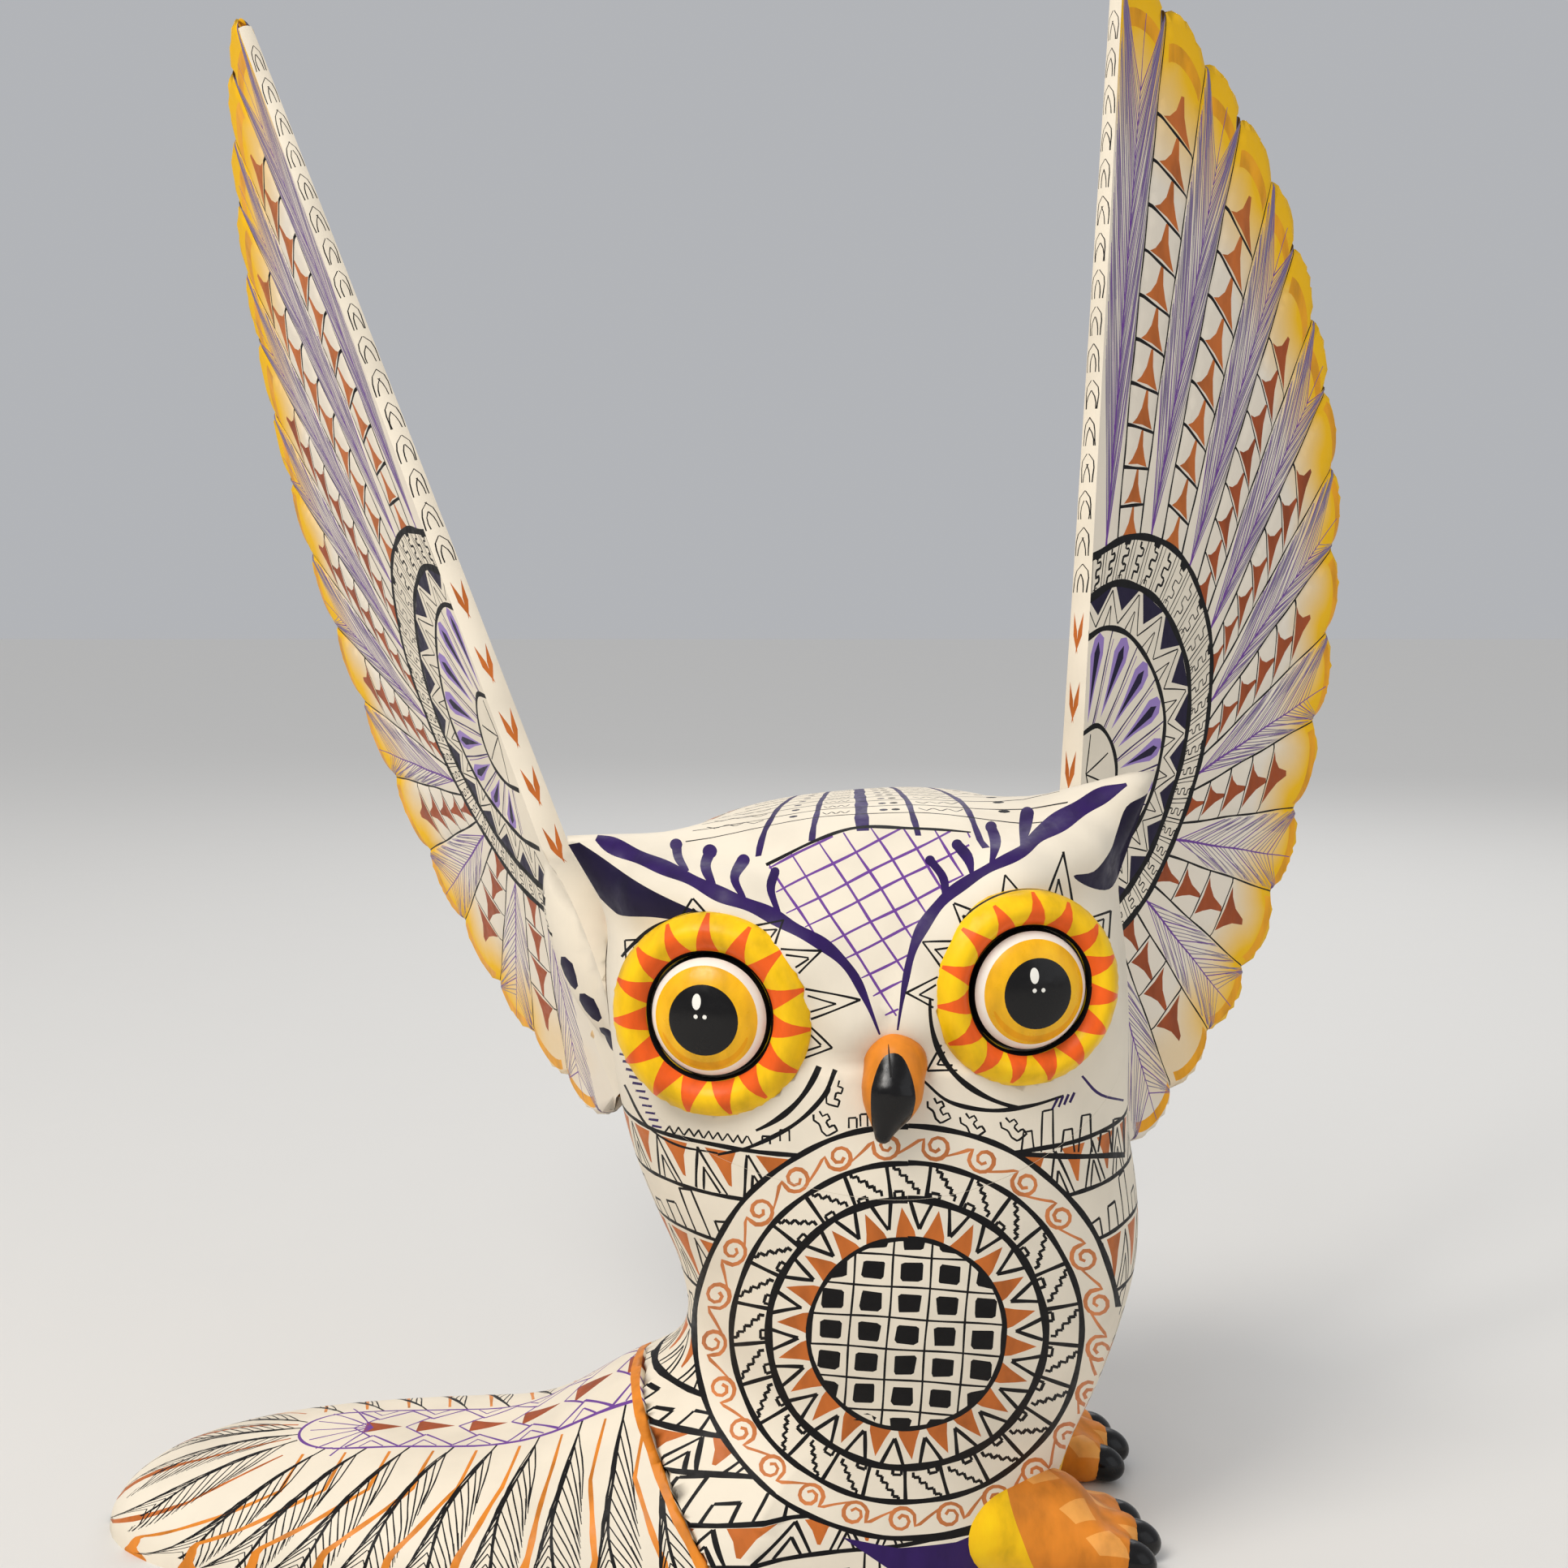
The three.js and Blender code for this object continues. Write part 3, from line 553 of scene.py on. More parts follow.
PAINTS = {                     # colour, roughness
    "cream": ("#ece1cd", 0.58),
    "cream_wing": ("#ebe0ce", 0.58),
    "white": ("#f3f0e6", 0.4),
    "ink": ("#0b090a", 0.5),
    "navy": ("#1b1232", 0.42),
    "purple": ("#2e1656", 0.42),
    "violet": ("#6e3f94", 0.45),
    "lilac": ("#9a80c0", 0.5),
    "barb": ("#857a90", 0.5),
    "rust": ("#c0682a", 0.42),
    "clay": ("#cb7a44", 0.45),
    "rust_dark": ("#a04a1e", 0.42),
    "orange": ("#ee5f1c", 0.38),
    "amber": ("#dc8428", 0.4),
    # the peach paint is the painted highlight on the top facets of the feet
    "peach": ("#f0a550", 0.42),
    "yellow": ("#f7c411", 0.38),
    "gold": ("#efa40f", 0.36),
    "iris": ("#f3b50f", 0.3),
    "claw": ("#080606", 0.2),
}
GROUNDS = {"cream", "white"}
STREAKED = {"purple", "navy", "rust", "clay", "rust_dark", "orange", "amber", "peach", "yellow", "gold",
            "iris"}
SHADED = {"cream_wing": ("#ebe0ce", "#f7bf10")}     # ground colour and the colour its tips fade to
GLOSSY = 0.35                   # paints smoother than this carry varnish
VARNISH = 0.35
SATIN = 0.2
_materials = {}


def linear(code):
    channels = [int(code[i:i + 2], 16) / 255 for i in (1, 3, 5)]
    return [*(c / 12.92 if c <= 0.04045 else ((c + 0.055) / 1.055) ** 2.4 for c in channels), 1.0]


class Nodes:
    """Short names for building a material's nodes."""

    def __init__(self, name):
        self.material = bpy.data.materials.new(name)
        self.material.use_nodes = True
        self.tree = self.material.node_tree
        self.shader = self.tree.nodes["Principled BSDF"]
        self.place = self.add("ShaderNodeTexCoord").outputs["Object"]

    def add(self, kind, **settings):
        node = self.tree.nodes.new(kind)
        for key, value in settings.items():
            setattr(node, key, value)
        return node

    def join(self, source, target):
        self.tree.links.new(source, target)

    def noise(self, scale, detail=4.0, stretch=(1, 1, 1)):
        mapping = self.add("ShaderNodeMapping")
        mapping.inputs["Scale"].default_value = stretch
        self.join(self.place, mapping.inputs["Vector"])
        node = self.add("ShaderNodeTexNoise")
        node.inputs["Scale"].default_value = scale
        node.inputs["Detail"].default_value = detail
        self.join(mapping.outputs["Vector"], node.inputs["Vector"])
        return node.outputs["Fac"]

    def ramp(self, source, *stops):
        node = self.add("ShaderNodeValToRGB")
        ramp = node.color_ramp
        while len(ramp.elements) < len(stops):
            ramp.elements.new(0.5)
        for element, (position, colour) in zip(ramp.elements, stops):
            element.position = position
            element.color = colour if len(colour) == 4 else (*colour, 1)
        self.join(source, node.inputs["Fac"])
        return node.outputs["Color"]

    def range(self, source, low, high):
        node = self.add("ShaderNodeMapRange")
        node.inputs["From Min"].default_value = 0.3
        node.inputs["From Max"].default_value = 0.7
        node.inputs["To Min"].default_value = low
        node.inputs["To Max"].default_value = high
        self.join(source, node.inputs["Value"])
        return node.outputs["Result"]

    def bump(self, height, strength, distance, under=None):
        node = self.add("ShaderNodeBump")
        node.inputs["Strength"].default_value = strength
        node.inputs["Distance"].default_value = distance
        self.join(height, node.inputs["Height"])
        if under is not None:
            self.join(under, node.inputs["Normal"])
        return node.outputs["Normal"]


def tinted(colour, amount):
    return [*(min(1.0, c * amount) for c in colour[:3]), 1.0]


def paint_material(paint):
    """Hand-laid acrylic over carved wood: brush marks, carving facets and a satin finish that varies."""
    if paint in _materials:
        return _materials[paint]
    if paint == "wood":
        _materials[paint] = wood_material()
        return _materials[paint]
    code, roughness = PAINTS[paint]
    n = Nodes("paint_" + paint)
    colour = linear(code)
    n.shader.inputs["Base Color"].default_value = colour
    n.shader.inputs["Specular IOR Level"].default_value = VARNISH if roughness < GLOSSY else SATIN
    n.join(n.range(n.noise(420, 3), roughness - 0.07, roughness + 0.12), n.shader.inputs["Roughness"])
    brush = n.bump(n.noise(900, 3, (1, 1, 0.25)), 0.25, 0.00012)
    n.join(n.bump(n.noise(70, 3), 0.35, 0.0006, under=brush), n.shader.inputs["Normal"])
    if paint in SHADED:
        ground, tip = (linear(c) for c in SHADED[paint])
        n.join(tip_colour(n, ground, tip), n.shader.inputs["Base Color"])
    elif paint in GROUNDS:
        uneven = n.ramp(n.noise(38, 5), (0.32, tinted(colour, 0.9)), (0.55, colour),
                        (0.75, tinted(colour, 1.04)))
        n.join(uneven, n.shader.inputs["Base Color"])
    elif paint in STREAKED:
        streaks = n.ramp(n.noise(160, 5, (1, 1, 0.4)), (0.3, tinted(colour, 0.72)), (0.52, colour),
                         (0.78, tinted(colour, 1.22)))
        n.join(streaks, n.shader.inputs["Base Color"])
    _materials[paint] = n.material
    return n.material


def tip_colour(n, ground, tip):
    """The ground fades to the tip colour where the mesh's shade value rises."""
    shade = n.add("ShaderNodeAttribute", attribute_name="shade").outputs["Fac"]
    warm = tinted(tip, 0.93)
    return n.ramp(shade, (0.02, ground), (0.45, [g * 0.45 + t * 0.55 for g, t in zip(ground, tip)]),
                  (0.75, tip), (1.0, warm))


def wood_material():
    """Pale bare copal wood for dowels and pegs, with its grain along them."""
    n = Nodes("bare_wood")
    grain = n.noise(60, 6, (9, 9, 1))
    colour = n.ramp(grain, (0.3, linear("#b98d5c")), (0.55, linear("#d8b483")), (0.75, linear("#e6cb9f")))
    n.join(colour, n.shader.inputs["Base Color"])
    n.join(n.range(grain, 0.55, 0.75), n.shader.inputs["Roughness"])
    n.join(n.bump(grain, 0.4, 0.0003), n.shader.inputs["Normal"])
    return n.material


# ---------- shared motifs, each drawn in a cell's unit square ----------

def running_fret(design, band, count, line):
    """Radial dividers, with a stair across each cell and a small hook in its corner."""
    stair = [(0.16, 1), (0.16, 0.84), (0.3, 0.84), (0.3, 0.66), (0.46, 0.66), (0.46, 0.47), (0.62, 0.47),
             (0.62, 0.3), (0.78, 0.3), (0.78, 0.14)]
    hook = [(0.12, 0), (0.12, 0.22), (0.36, 0.22), (0.36, 0)]
    for cell in band.cells(count):
        design.stroke(cell([(0, 0), (0, 1)]), line * 1.25, "ink")
        for path in (stair, hook):
            design.chain(cell(path), line, "ink", wobble=0.05)


def tents_and_rust(design, band, count, line):
    """Nested outlined triangles that stand on the band's inner curve, with rust triangles hanging between."""
    for cell in band.cells(count):
        design.chain(cell([(0.04, 0.04), (0.36, 0.9), (0.7, 0.04)]), line, "ink", ends=(1, 0.7))
        design.chain(cell([(0.2, 0.04), (0.37, 0.52), (0.55, 0.04)]), line * 0.9, "ink", ends=(0.7, 1))
        hanging = [(0.52, 0.92), (1.14, 0.92), (0.98, 0.66), (0.86, 0.22), (0.8, 0.24), (0.68, 0.62)]
        design.fill(cell(hanging), "rust")


def skyline(design, band, count, line):
    """A row of open blocks of uneven height."""
    heights = (0.5, 0.92, 0.42, 0.66, 0.34)
    for i, cell in enumerate(band.cells(count)):
        top = heights[i % len(heights)]
        design.chain(cell([(0.14, 0.03), (0.16, top), (0.66, top + 0.04), (0.7, 0.03)]), line, "ink")


def running_spirals(design, centre, radius, width, count, line, start):
    """Rust waves that each curl into a spiral, running round a circle."""
    pitch = 2 * math.pi * radius / count
    t = np.linspace(0, 1, 26)
    angle = math.radians(-158) - t * math.radians(560)
    size = width * (0.47 - 0.36 * t)
    for i in range(count):
        c, s = cos_sin(start + 360 * i / count)
        outward, forward = np.array([c, s]), np.array([s, -c])
        middle = np.asarray(centre) + outward * radius
        path = middle + np.outer(size * np.cos(angle), forward) - np.outer(size * np.sin(angle), outward)
        tail = middle - forward * pitch * 0.82 - outward * width * 0.46
        lead = middle - forward * pitch * 0.52 - outward * width * 0.1
        design.stroke(curve([tail, lead, *path[::2]], 3), line, "clay", ends=(0.35, 0.8))


# ---------- wings ----------

FEATHERS = 17
WING_OUTLINE = [(0, 197), (22, 192), (75, 160), (111, 100), (116, 27), (92, -47), (62, -84), (32, -108)]
WING_LOW = (6.0, -104.0)
WING_ROOT_THICKNESS = 8.0
WING_TIP_THICKNESS = 3.8
BOSS = {"across": 3.0, "along": -68.0, "half_width": 12.0, "half_length": 25.0, "half_thickness": 8.5}
WING_POSE = {
    "left": {"side": -1, "yaw": 63, "lean": 20.5, "pitch": -14.2, "place": (-98.8, 20.3, 209.1)},
    "right": {"side": 1, "yaw": 44.9, "lean": 5.4, "pitch": 1, "place": (49.2, 28.7, 198)},
}
RING_OUTER = [(-1, 47), (16, 54), (32, 54), (45, 47), (54, 34), (57, 18), (54, -3), (46, -21), (32, -41),
              (11, -57), (3, -62)]
RING_MIDDLE = [(-1, 36), (11, 41.5), (24, 40.5), (35, 34.5), (44, 24), (47, 12), (46, 0), (42, -11), (34, -27),
               (20, -42), (3, -53)]
RING_INNER = [(-1, 26), (7, 29.5), (18, 28), (29, 20), (35.5, 8), (35, -3), (31, -14), (24, -24), (13, -34),
              (2, -40)]
RING_CORE = [(-1, 1), (6, 4), (12, 0), (15, -7), (14, -14), (9, -20), (1, -24)]


def notch_points():
    """The notches between feathers; the side feathers are the widest."""
    line = spline(np.array([WING_OUTLINE[0], *WING_OUTLINE, WING_OUTLINE[-1]], float), 80)
    widths = np.array([0.93 + 0.27 * math.exp(-((k - 11) / 3.2) ** 2) for k in range(FEATHERS)])
    return picked(line, np.cumsum(widths) / widths.sum() * run_lengths(line)[-1])


NOTCHES = [np.array([0.0, 195.5]), *notch_points()]


def feather_tip(k, count=12):
    """The rounded end of feather k, from one notch to the next."""
    start, end = NOTCHES[k - 1], NOTCHES[k]
    step = end - start
    outward = np.array([-step[1], step[0]]) * 0.324
    b, c = start + step * 0.08 + outward, end - step * 0.22 + outward
    t = np.linspace(0, 1, count)[:, None]
    return (1 - t) ** 3 * start + 3 * (1 - t) ** 2 * t * b + 3 * (1 - t) * t ** 2 * c + t ** 3 * end


TIPS = {k: feather_tip(k) for k in range(1, FEATHERS + 1)}
SCALLOPS = np.vstack([TIPS[k][:-1] for k in TIPS] + [NOTCHES[-1][None]])


def boss_edge(along):
    """How far the root's swelling reaches in front of the leading edge."""
    share = 1 - ((along - BOSS["along"]) / BOSS["half_length"]) ** 2
    return np.minimum(BOSS["across"] - BOSS["half_width"] * np.sqrt(np.maximum(share, 0)), 0)


def edge_line(along):
    """The leading edge's places at the given distances along the wing."""
    lift = np.clip((along - WING_LOW[1]) / 14, 0, 1)
    return np.stack([boss_edge(along) + WING_LOW[0] * (1 - lift), along], axis=1)


def leading_edge(count=70):
    return edge_line(np.linspace(WING_LOW[1], 189, count))


def feather_root(k, ring):
    """Where the line between feathers k and k + 1 meets the ring."""
    return ring.at(k / (FEATHERS + 0.6) * 0.97 + 0.012, 0.0)


def paint_hair_feather(design, root_a, root_b, tip_a, tip_b, crest):
    """A feather of fine hairs that leave a violet vein."""
    root, crown = (root_a + root_b) / 2, crest * 0.94 + (root_a + root_b) / 2 * 0.06
    vein = np.stack([root + (crown - root) * t for t in np.linspace(0, 1, 9)])
    length = np.linalg.norm(crown - root)
    count = max(10, int(length / 2.6))
    for side_root, side_tip in ((root_a, tip_a), (root_b, tip_b)):
        for i in range(count):
            t = (i + 0.4 + 0.3 * hand.random()) / count
            start = root + (crown - root) * (t * 0.86)
            reach = min(1.0, t * 0.86 + 0.30 + 0.12 * hand.random())
            edge = side_root + (side_tip - side_root) * reach
            inward = (root + (crown - root) * reach - edge)
            end = edge + inward * 0.06
            paint = "violet" if i % 4 == 0 else "barb"
            width = 0.24 if paint == "barb" else 0.3
            design.stroke([start, (start + end) / 2, end], width, paint, ends=(1.2, 0.5),
                          step=max(4.0, length / 5), wobble=0.05)
            middle = (start + end) / 2 + inward * 0.02
            design.stroke([middle, end + (crown - root) * 0.012], 0.17, "barb", ends=(0.6, 0.5), step=9,
                          wobble=0)
    widths = np.linspace(0.75, 0.22, len(vein))
    design.stroke(np.column_stack([vein, widths]), 1, "violet", step=6)


def paint_ladder_feather(design, root_a, root_b, tip_a, tip_b, top):
    """A feather of cells between cross lines, with a rust flame in each cell."""
    length = np.linalg.norm((tip_a + tip_b) / 2 - (root_a + root_b) / 2)
    count = max(4, int(round(length / 12.5)))
    marks = [((i / count) ** 1.08) * (0.90 if top else 0.84) for i in range(count + 1)]
    for i, (low, high) in enumerate(zip(marks, marks[1:])):
        a, b = root_a + (tip_a - root_a) * low, root_b + (tip_b - root_b) * low * 0.985
        c, d = root_a + (tip_a - root_a) * high, root_b + (tip_b - root_b) * high * 0.985
        if i:
            design.stroke([a, b], 0.85 if top else 0.5, "ink", ends=(1.2, 0.8))

        def cell(u, v, a=a, b=b, c=c, d=d):
            return (a * (1 - u) + b * u) * (1 - v) + (c * (1 - u) + d * u) * v
        tip = 1.008 if i < count - 1 else 0.98
        flame = [(0.13, 0.06), (0.5, 0.1), (0.88, 0.05), (0.74, 0.3), (0.63, 0.58), (0.57, tip),
                 (0.5, tip - 0.06), (0.42, 0.5), (0.28, 0.22)]
        design.fill(np.array([cell(u, v) for u, v in flame]), "rust" if top else "rust_dark")


def paint_feathers(design, ring):
    for k in range(1, FEATHERS + 1):
        roots = feather_root(k - 1, ring), feather_root(k, ring)
        crest, top = TIPS[k][6], k <= 5
        paint_feather_tip(design, k, (roots[0] + roots[1]) / 2)
        if k % 2:
            paint_hair_feather(design, *roots, NOTCHES[k - 1], NOTCHES[k], crest)
        else:
            paint_ladder_feather(design, *roots, NOTCHES[k - 1], NOTCHES[k], top)
    for k in range(1, FEATHERS):
        design.stroke([feather_root(k, ring), NOTCHES[k]], 0.55, "ink", ends=(1.3, 0.6))


def paint_feather_tip(design, k, root):
    """The darker yellow band near a feather's end."""
    def inset(depth):
        return TIPS[k] + (root - TIPS[k]) * (depth / np.linalg.norm(TIPS[k][6] - root))
    band = inset(9.0)
    if k <= 7:
        under = inset(13.5)
        hollow = under + ((under[0] + under[-1]) / 2 - under) * 0.06
        design.fill(np.vstack([band[1:-1], hollow[1:-1][::-1]]), "gold")
    else:
        edge = inset(3.2)
        design.fill(np.vstack([edge[1:-1], band[1:-1][::-1] * 0.55 + edge[1:-1][::-1] * 0.45]), "gold")


def paint_ring(design):
    outer, middle, inner = curve(RING_OUTER), curve(RING_MIDDLE), curve(RING_INNER)
    shell = np.vstack([outer, [(-14, -62), (-14, 47)]])
    design.fill(shell, "cream")
    fret = Band(middle, outer)
    for i, cell in enumerate(fret.cells(27)):
        design.stroke(cell([(0, 0), (0, 1)]), 0.35, "ink")
        design.stroke(cell([(0.22, 0), (0.2, 1)]), 0.25, "ink")
        stair = [(0.55, 0.9), (0.55, 0.76), (0.82, 0.76), (0.82, 0.6), (0.5, 0.6), (0.5, 0.42), (0.78, 0.42),
                 (0.78, 0.27), (0.5, 0.27), (0.5, 0.1)]
        design.stroke(cell(stair), 0.4 if i > 5 else 0.7, "ink", wobble=0.03, step=0.8)
        if i % 2 == 0:
            design.fill(cell([(0.35, 0.98), (0.85, 0.98), (0.78, 0.84), (0.42, 0.86)]), "ink")
            tile = [(0.3, 0.02), (0.72, 0.02), (0.66, 0.18), (0.36, 0.16), (0.3, 0.02)]
            design.chain(cell(tile), 0.25, "ink")
    teeth = Band(inner, middle)
    for cell in teeth.cells(12):
        design.fill(cell([(0.06, 0.96), (0.94, 0.96), (0.5, 0.4)]), "navy")
        design.chain(cell([(-0.02, 0.86), (0.47, 0.12), (0.97, 0.86)]), 0.4, "ink")
        design.chain(cell([(0.14, 0.04), (0.02, 0.5), (-0.16, 0.04)]), 0.35, "ink")
    core = curve(RING_CORE)
    petals = Band(core, inner)
    for i, cell in enumerate(petals.cells(9)):
        design.stroke(cell([(0, 0.02), (0, 0.98)]), 0.45, "purple")
        design.stroke(cell([(0.12, 0.02), (0.1, 0.9)]), 0.25, "violet")
        if i != 8:
            drop = [(0.5, 0.08), (0.36, 0.45), (0.24, 0.78), (0.36, 0.93), (0.54, 0.97), (0.74, 0.9),
                    (0.8, 0.74), (0.66, 0.42)]
            design.fill(cell(drop), "lilac")
            heart = [(0.5, 0.2), (0.44, 0.5), (0.42, 0.78), (0.54, 0.88), (0.66, 0.76), (0.6, 0.48)]
            design.fill(cell(heart), "navy")
    design.stroke(core, 1.3, "ink")
    spot = np.array([2.0, -9.0])
    for end in ((3, 1.5), (11, -3), (13.5, -12), (7, -21)):
        design.stroke([spot, end], 0.45, "ink")
    design.stroke(inner, 1.5, "ink")
    design.stroke(middle, 2.0, "ink")
    design.stroke(outer, 1.9, "ink")


def paint_wing():
    design = Design()
    ring = Band(curve(RING_OUTER), curve(RING_OUTER))
    paint_feathers(design, ring)
    paint_ring(design)
    design.fill([(-12, -62), (3, -62), (11, -57), (13, -72), (15, -95), (14, -110), (-12, -110)], "cream")
    for x, y, long, wide in ((1, -72, 4.6, 3.4), (0, -82, 4.2, 3.2), (2, -91, 3.6, 3.0)):
        angles = np.radians(np.arange(0, 360, 40))
        blot = [(x + wide * math.cos(a) * (1 + 0.12 * math.sin(3 * a)), y + long * math.sin(a)) for a in angles]
        design.fill(blot, "navy")
    return design


def wing_axes(side):
    pose = WING_POSE[side]
    yaw, lean, pitch = (math.radians(pose[k]) for k in ("yaw", "lean", "pitch"))
    chord = np.array([pose["side"] * math.cos(yaw), math.sin(yaw), 0])
    away = np.array([-pose["side"] * math.sin(yaw), math.cos(yaw), 0])
    span = np.array([0, 0, 1]) * math.cos(pitch) + away * math.sin(pitch)
    span_axis = span * math.cos(lean) + chord * math.sin(lean)
    chord_axis = chord * math.cos(lean) - span * math.sin(lean)
    return np.array(pose["place"], float), chord_axis, span_axis, np.cross(chord_axis, span_axis)


def pull_direction(side):
    joint = next(j for j in frame["joints"] if j["name"] == side + "_wing_pull")
    return np.array(joint["axis"], float)


def nearest(points, line):
    """Distance from each point to a polyline's vertices and segments."""
    best = np.full(len(points), 1e9)
    for a, b in zip(line, line[1:]):
        along = b - a
        t = np.clip((points - a) @ along / max(along @ along, 1e-9), 0, 1)
        best = np.minimum(best, np.linalg.norm(points - (a + t[:, None] * along), axis=1))
    return best


class WingShape:
    """Half thickness of the board at a place on it, worked out once for both wings and both faces."""

    def __init__(self):
        self.fine = resampled(SCALLOPS, 1.5)
        self.grooves = [(NOTCHES[k], feather_root(k, Band(curve(RING_OUTER), curve(RING_OUTER))))
                        for k in range(1, FEATHERS)]

    def half(self, flat):
        share = (flat[:, 1] - WING_LOW[1]) / (WING_OUTLINE[0][1] - WING_LOW[1])
        half = (WING_ROOT_THICKNESS + (WING_TIP_THICKNESS - WING_ROOT_THICKNESS) * share) / 2
        rounding = np.clip(nearest(flat, self.fine) / 2.4, 0, 1)
        half = half * np.sqrt(np.maximum(1 - (1 - rounding) ** 2, 0))
        for notch, root in self.grooves:
            depth = 0.55 * np.clip((np.linalg.norm(flat - root, axis=1)) / 40, 0, 1)
            gap = nearest(flat, np.array([notch, root]))
            half = half - depth * np.exp(-(gap / 0.9) ** 2) * (rounding > 0.4)
        swell = 1 - ((flat[:, 0] - BOSS["across"]) / BOSS["half_width"]) ** 2
        swell = swell - ((flat[:, 1] - BOSS["along"]) / BOSS["half_length"]) ** 2
        boss = BOSS["half_thickness"] * np.sqrt(np.maximum(swell, 0))
        return np.maximum(half, boss * 0.999)


def clear_of_body(p, outward):
    """Moves the points that would lie in the body out along the pegs' direction to just clear of it."""
    moved = p.copy()
    inside = np.nonzero(body_field(p) < SEAM_GAP)[0]
    count = len(inside)
    near, far = np.zeros(count), np.full(count, 45.0)
    _, out = halved(lambda d: body_field(p[inside] + outward * d) < SEAM_GAP, near, far)
    moved[inside] = p[inside] + outward * out[:, None]
    return moved


def tip_shade(flat):
    """How far the paint has faded to the tips' yellow, from none to all."""
    reach = 24 + 22 * np.clip((flat[:, 1] - 60) / 110, 0, 1)
    return np.clip(1 - nearest(flat, SCALLOPS) / reach, 0, 1) * np.clip((flat[:, 1] + 100) / 30, 0, 1)


def wing_face(side, shape, face):
    """The carved face of a wing's board: 1 is the front face and -1 the back."""
    place, chord, span, through = wing_axes(side)
    outward = pull_direction(side)
    step = 0.35

    def lift(flat):
        return place + flat[:, :1] * chord + flat[:, 1:] * span + (face * shape.half(flat))[:, None] * through

    def surface(flat):
        run = lift(flat + [step, 0]) - lift(flat - [step, 0])
        rise = lift(flat + [0, step]) - lift(flat - [0, step])
        return clear_of_body(lift(flat), outward), unit_rows(np.cross(run, rise) * face)
    return surface


def make_wings():
    marks = paint_wing().marks
    shape = WingShape()
    region = np.vstack([leading_edge(), [(0, 193), (0.8, 195)], SCALLOPS[1:]])
    for side in WINGS:
        faces = [wrap(f"wing_{side}_face", marks, region, wing_face(side, shape, face), 3.2, "cream_wing",
                      tip_shade) for face in (1, -1)]
        wing = joined(f"wing_{side}_painted", [*faces, make_edge_strip(side, shape)])
        ride_on(wing, side + "_wing", "painted_wing", "wing_" + side)


EDGE_STRETCH = 4                # the strip's chart is this many times as wide as the strip's own shares


def paint_edge_strip():
    """Nested chevrons along a wing's leading edge and rust leaves near its root."""
    design = Design()
    for top in np.arange(188, 36, -9.5):
        for depth in (0.0, 2.6):
            wide = 0.72 - depth * 0.11
            for end in (-wide, wide):
                line = [(top - depth, 0.0), (top - 2.2 - depth, end), (top - 7.4, end)]
                design.stroke(line, 0.12, "ink", step=2)
    for x in (22, 4, -14, -30, -46, -88):
        for turn in SIDES:
            leaf = [(x, -0.1 * turn), (x + 5, 0.45 * turn), (x + 11, 0.5 * turn), (x + 6, 0.05 * turn)]
            design.fill(leaf, "rust")
    return [(points * [1, EDGE_STRETCH], paint) for points, paint, _ in design.marks]


def make_edge_strip(side, shape):
    """The flat leading edge of a wing."""
    place, chord, span, through = wing_axes(side)
    low, high = WING_LOW[1], 194.0
    corners = [(low, -EDGE_STRETCH), (high, -EDGE_STRETCH), (high, EDGE_STRETCH), (low, EDGE_STRETCH)]

    def surface(flat):
        across = flat[:, 1] / EDGE_STRETCH
        base = edge_line(flat[:, 0])
        half = shape.half(base + [0.02, 0])
        hollow = -0.7 * (1 - across ** 2)
        p = place + (base[:, :1] + hollow[:, None]) * chord + base[:, 1:] * span
        p = p + (across * half)[:, None] * through
        normal = unit_rows(-chord + across[:, None] * 0.35 * through)
        return clear_of_body(p, pull_direction(side)), normal
    return wrap(f"wing_{side}_edge", paint_edge_strip(), closed(corners, 3.0), surface, 3.0, "cream")


def joined(name, objects):
    """One object made of several; custom normals and materials stay."""
    with bpy.context.temp_override(active_object=objects[0], selected_editable_objects=objects,
                                   selected_objects=objects, object=objects[0]):
        bpy.ops.object.join()
    objects[0].name = name
    objects[0].data.name = name
    return objects[0]


def ride_on(piece, body, slot, *nodes):
    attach(piece, body)
    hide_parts(*nodes)


# ---------- designs on the body, head and tail ----------

MEDALLION = (2.0, 69.0)
MEDALLION_RADIUS = {"edge": 48.5, "fret": 39.9, "teeth": 31.6, "grid": 22.4}
BAND_LEVELS = [111, 98.5, 86, 70, 54, 44, 37, 29, 20.5, 13, 4]
NAPE_LEVELS = [111, 122, 134, 146, 158]
AROUND = math.pi * TORSO_SCALE


def girdle_band(low, high, start=-AROUND, end=AROUND):
    across = np.arange(start, end + 0.1, 4.0)

    def level(z):
        return np.stack([across, z + 0.8 * np.sin(across / 31 + z)], axis=1)
    return Band(level(low), level(high), count=len(across))


def paint_bands(design):
    """Bands round the belly: tents with rust between them, then a skyline, and so on down."""
    design.layout = "girdle"
    for i, (high, low) in enumerate(zip(BAND_LEVELS, BAND_LEVELS[1:])):
        band = girdle_band(low, high)
        if i % 2:
            skyline(design, band, 46, 0.7)
        else:
            tents_and_rust(design, band, 30, 0.75)
        design.stroke(band.inner, 1.05, "ink", step=4)
    for i, (low, high) in enumerate(zip(NAPE_LEVELS, NAPE_LEVELS[1:])):
        for start, end in ((-AROUND, -84), (84, AROUND)):
            band = girdle_band(low, high, start, end)
            if i % 2:
                tents_and_rust(design, band, 11, 0.6)
            else:
                skyline(design, band, 16, 0.55)
            design.stroke(band.outer, 0.95, "ink", step=4)
    design.stroke(girdle_band(104, 111).outer, 1.1, "ink", step=4)


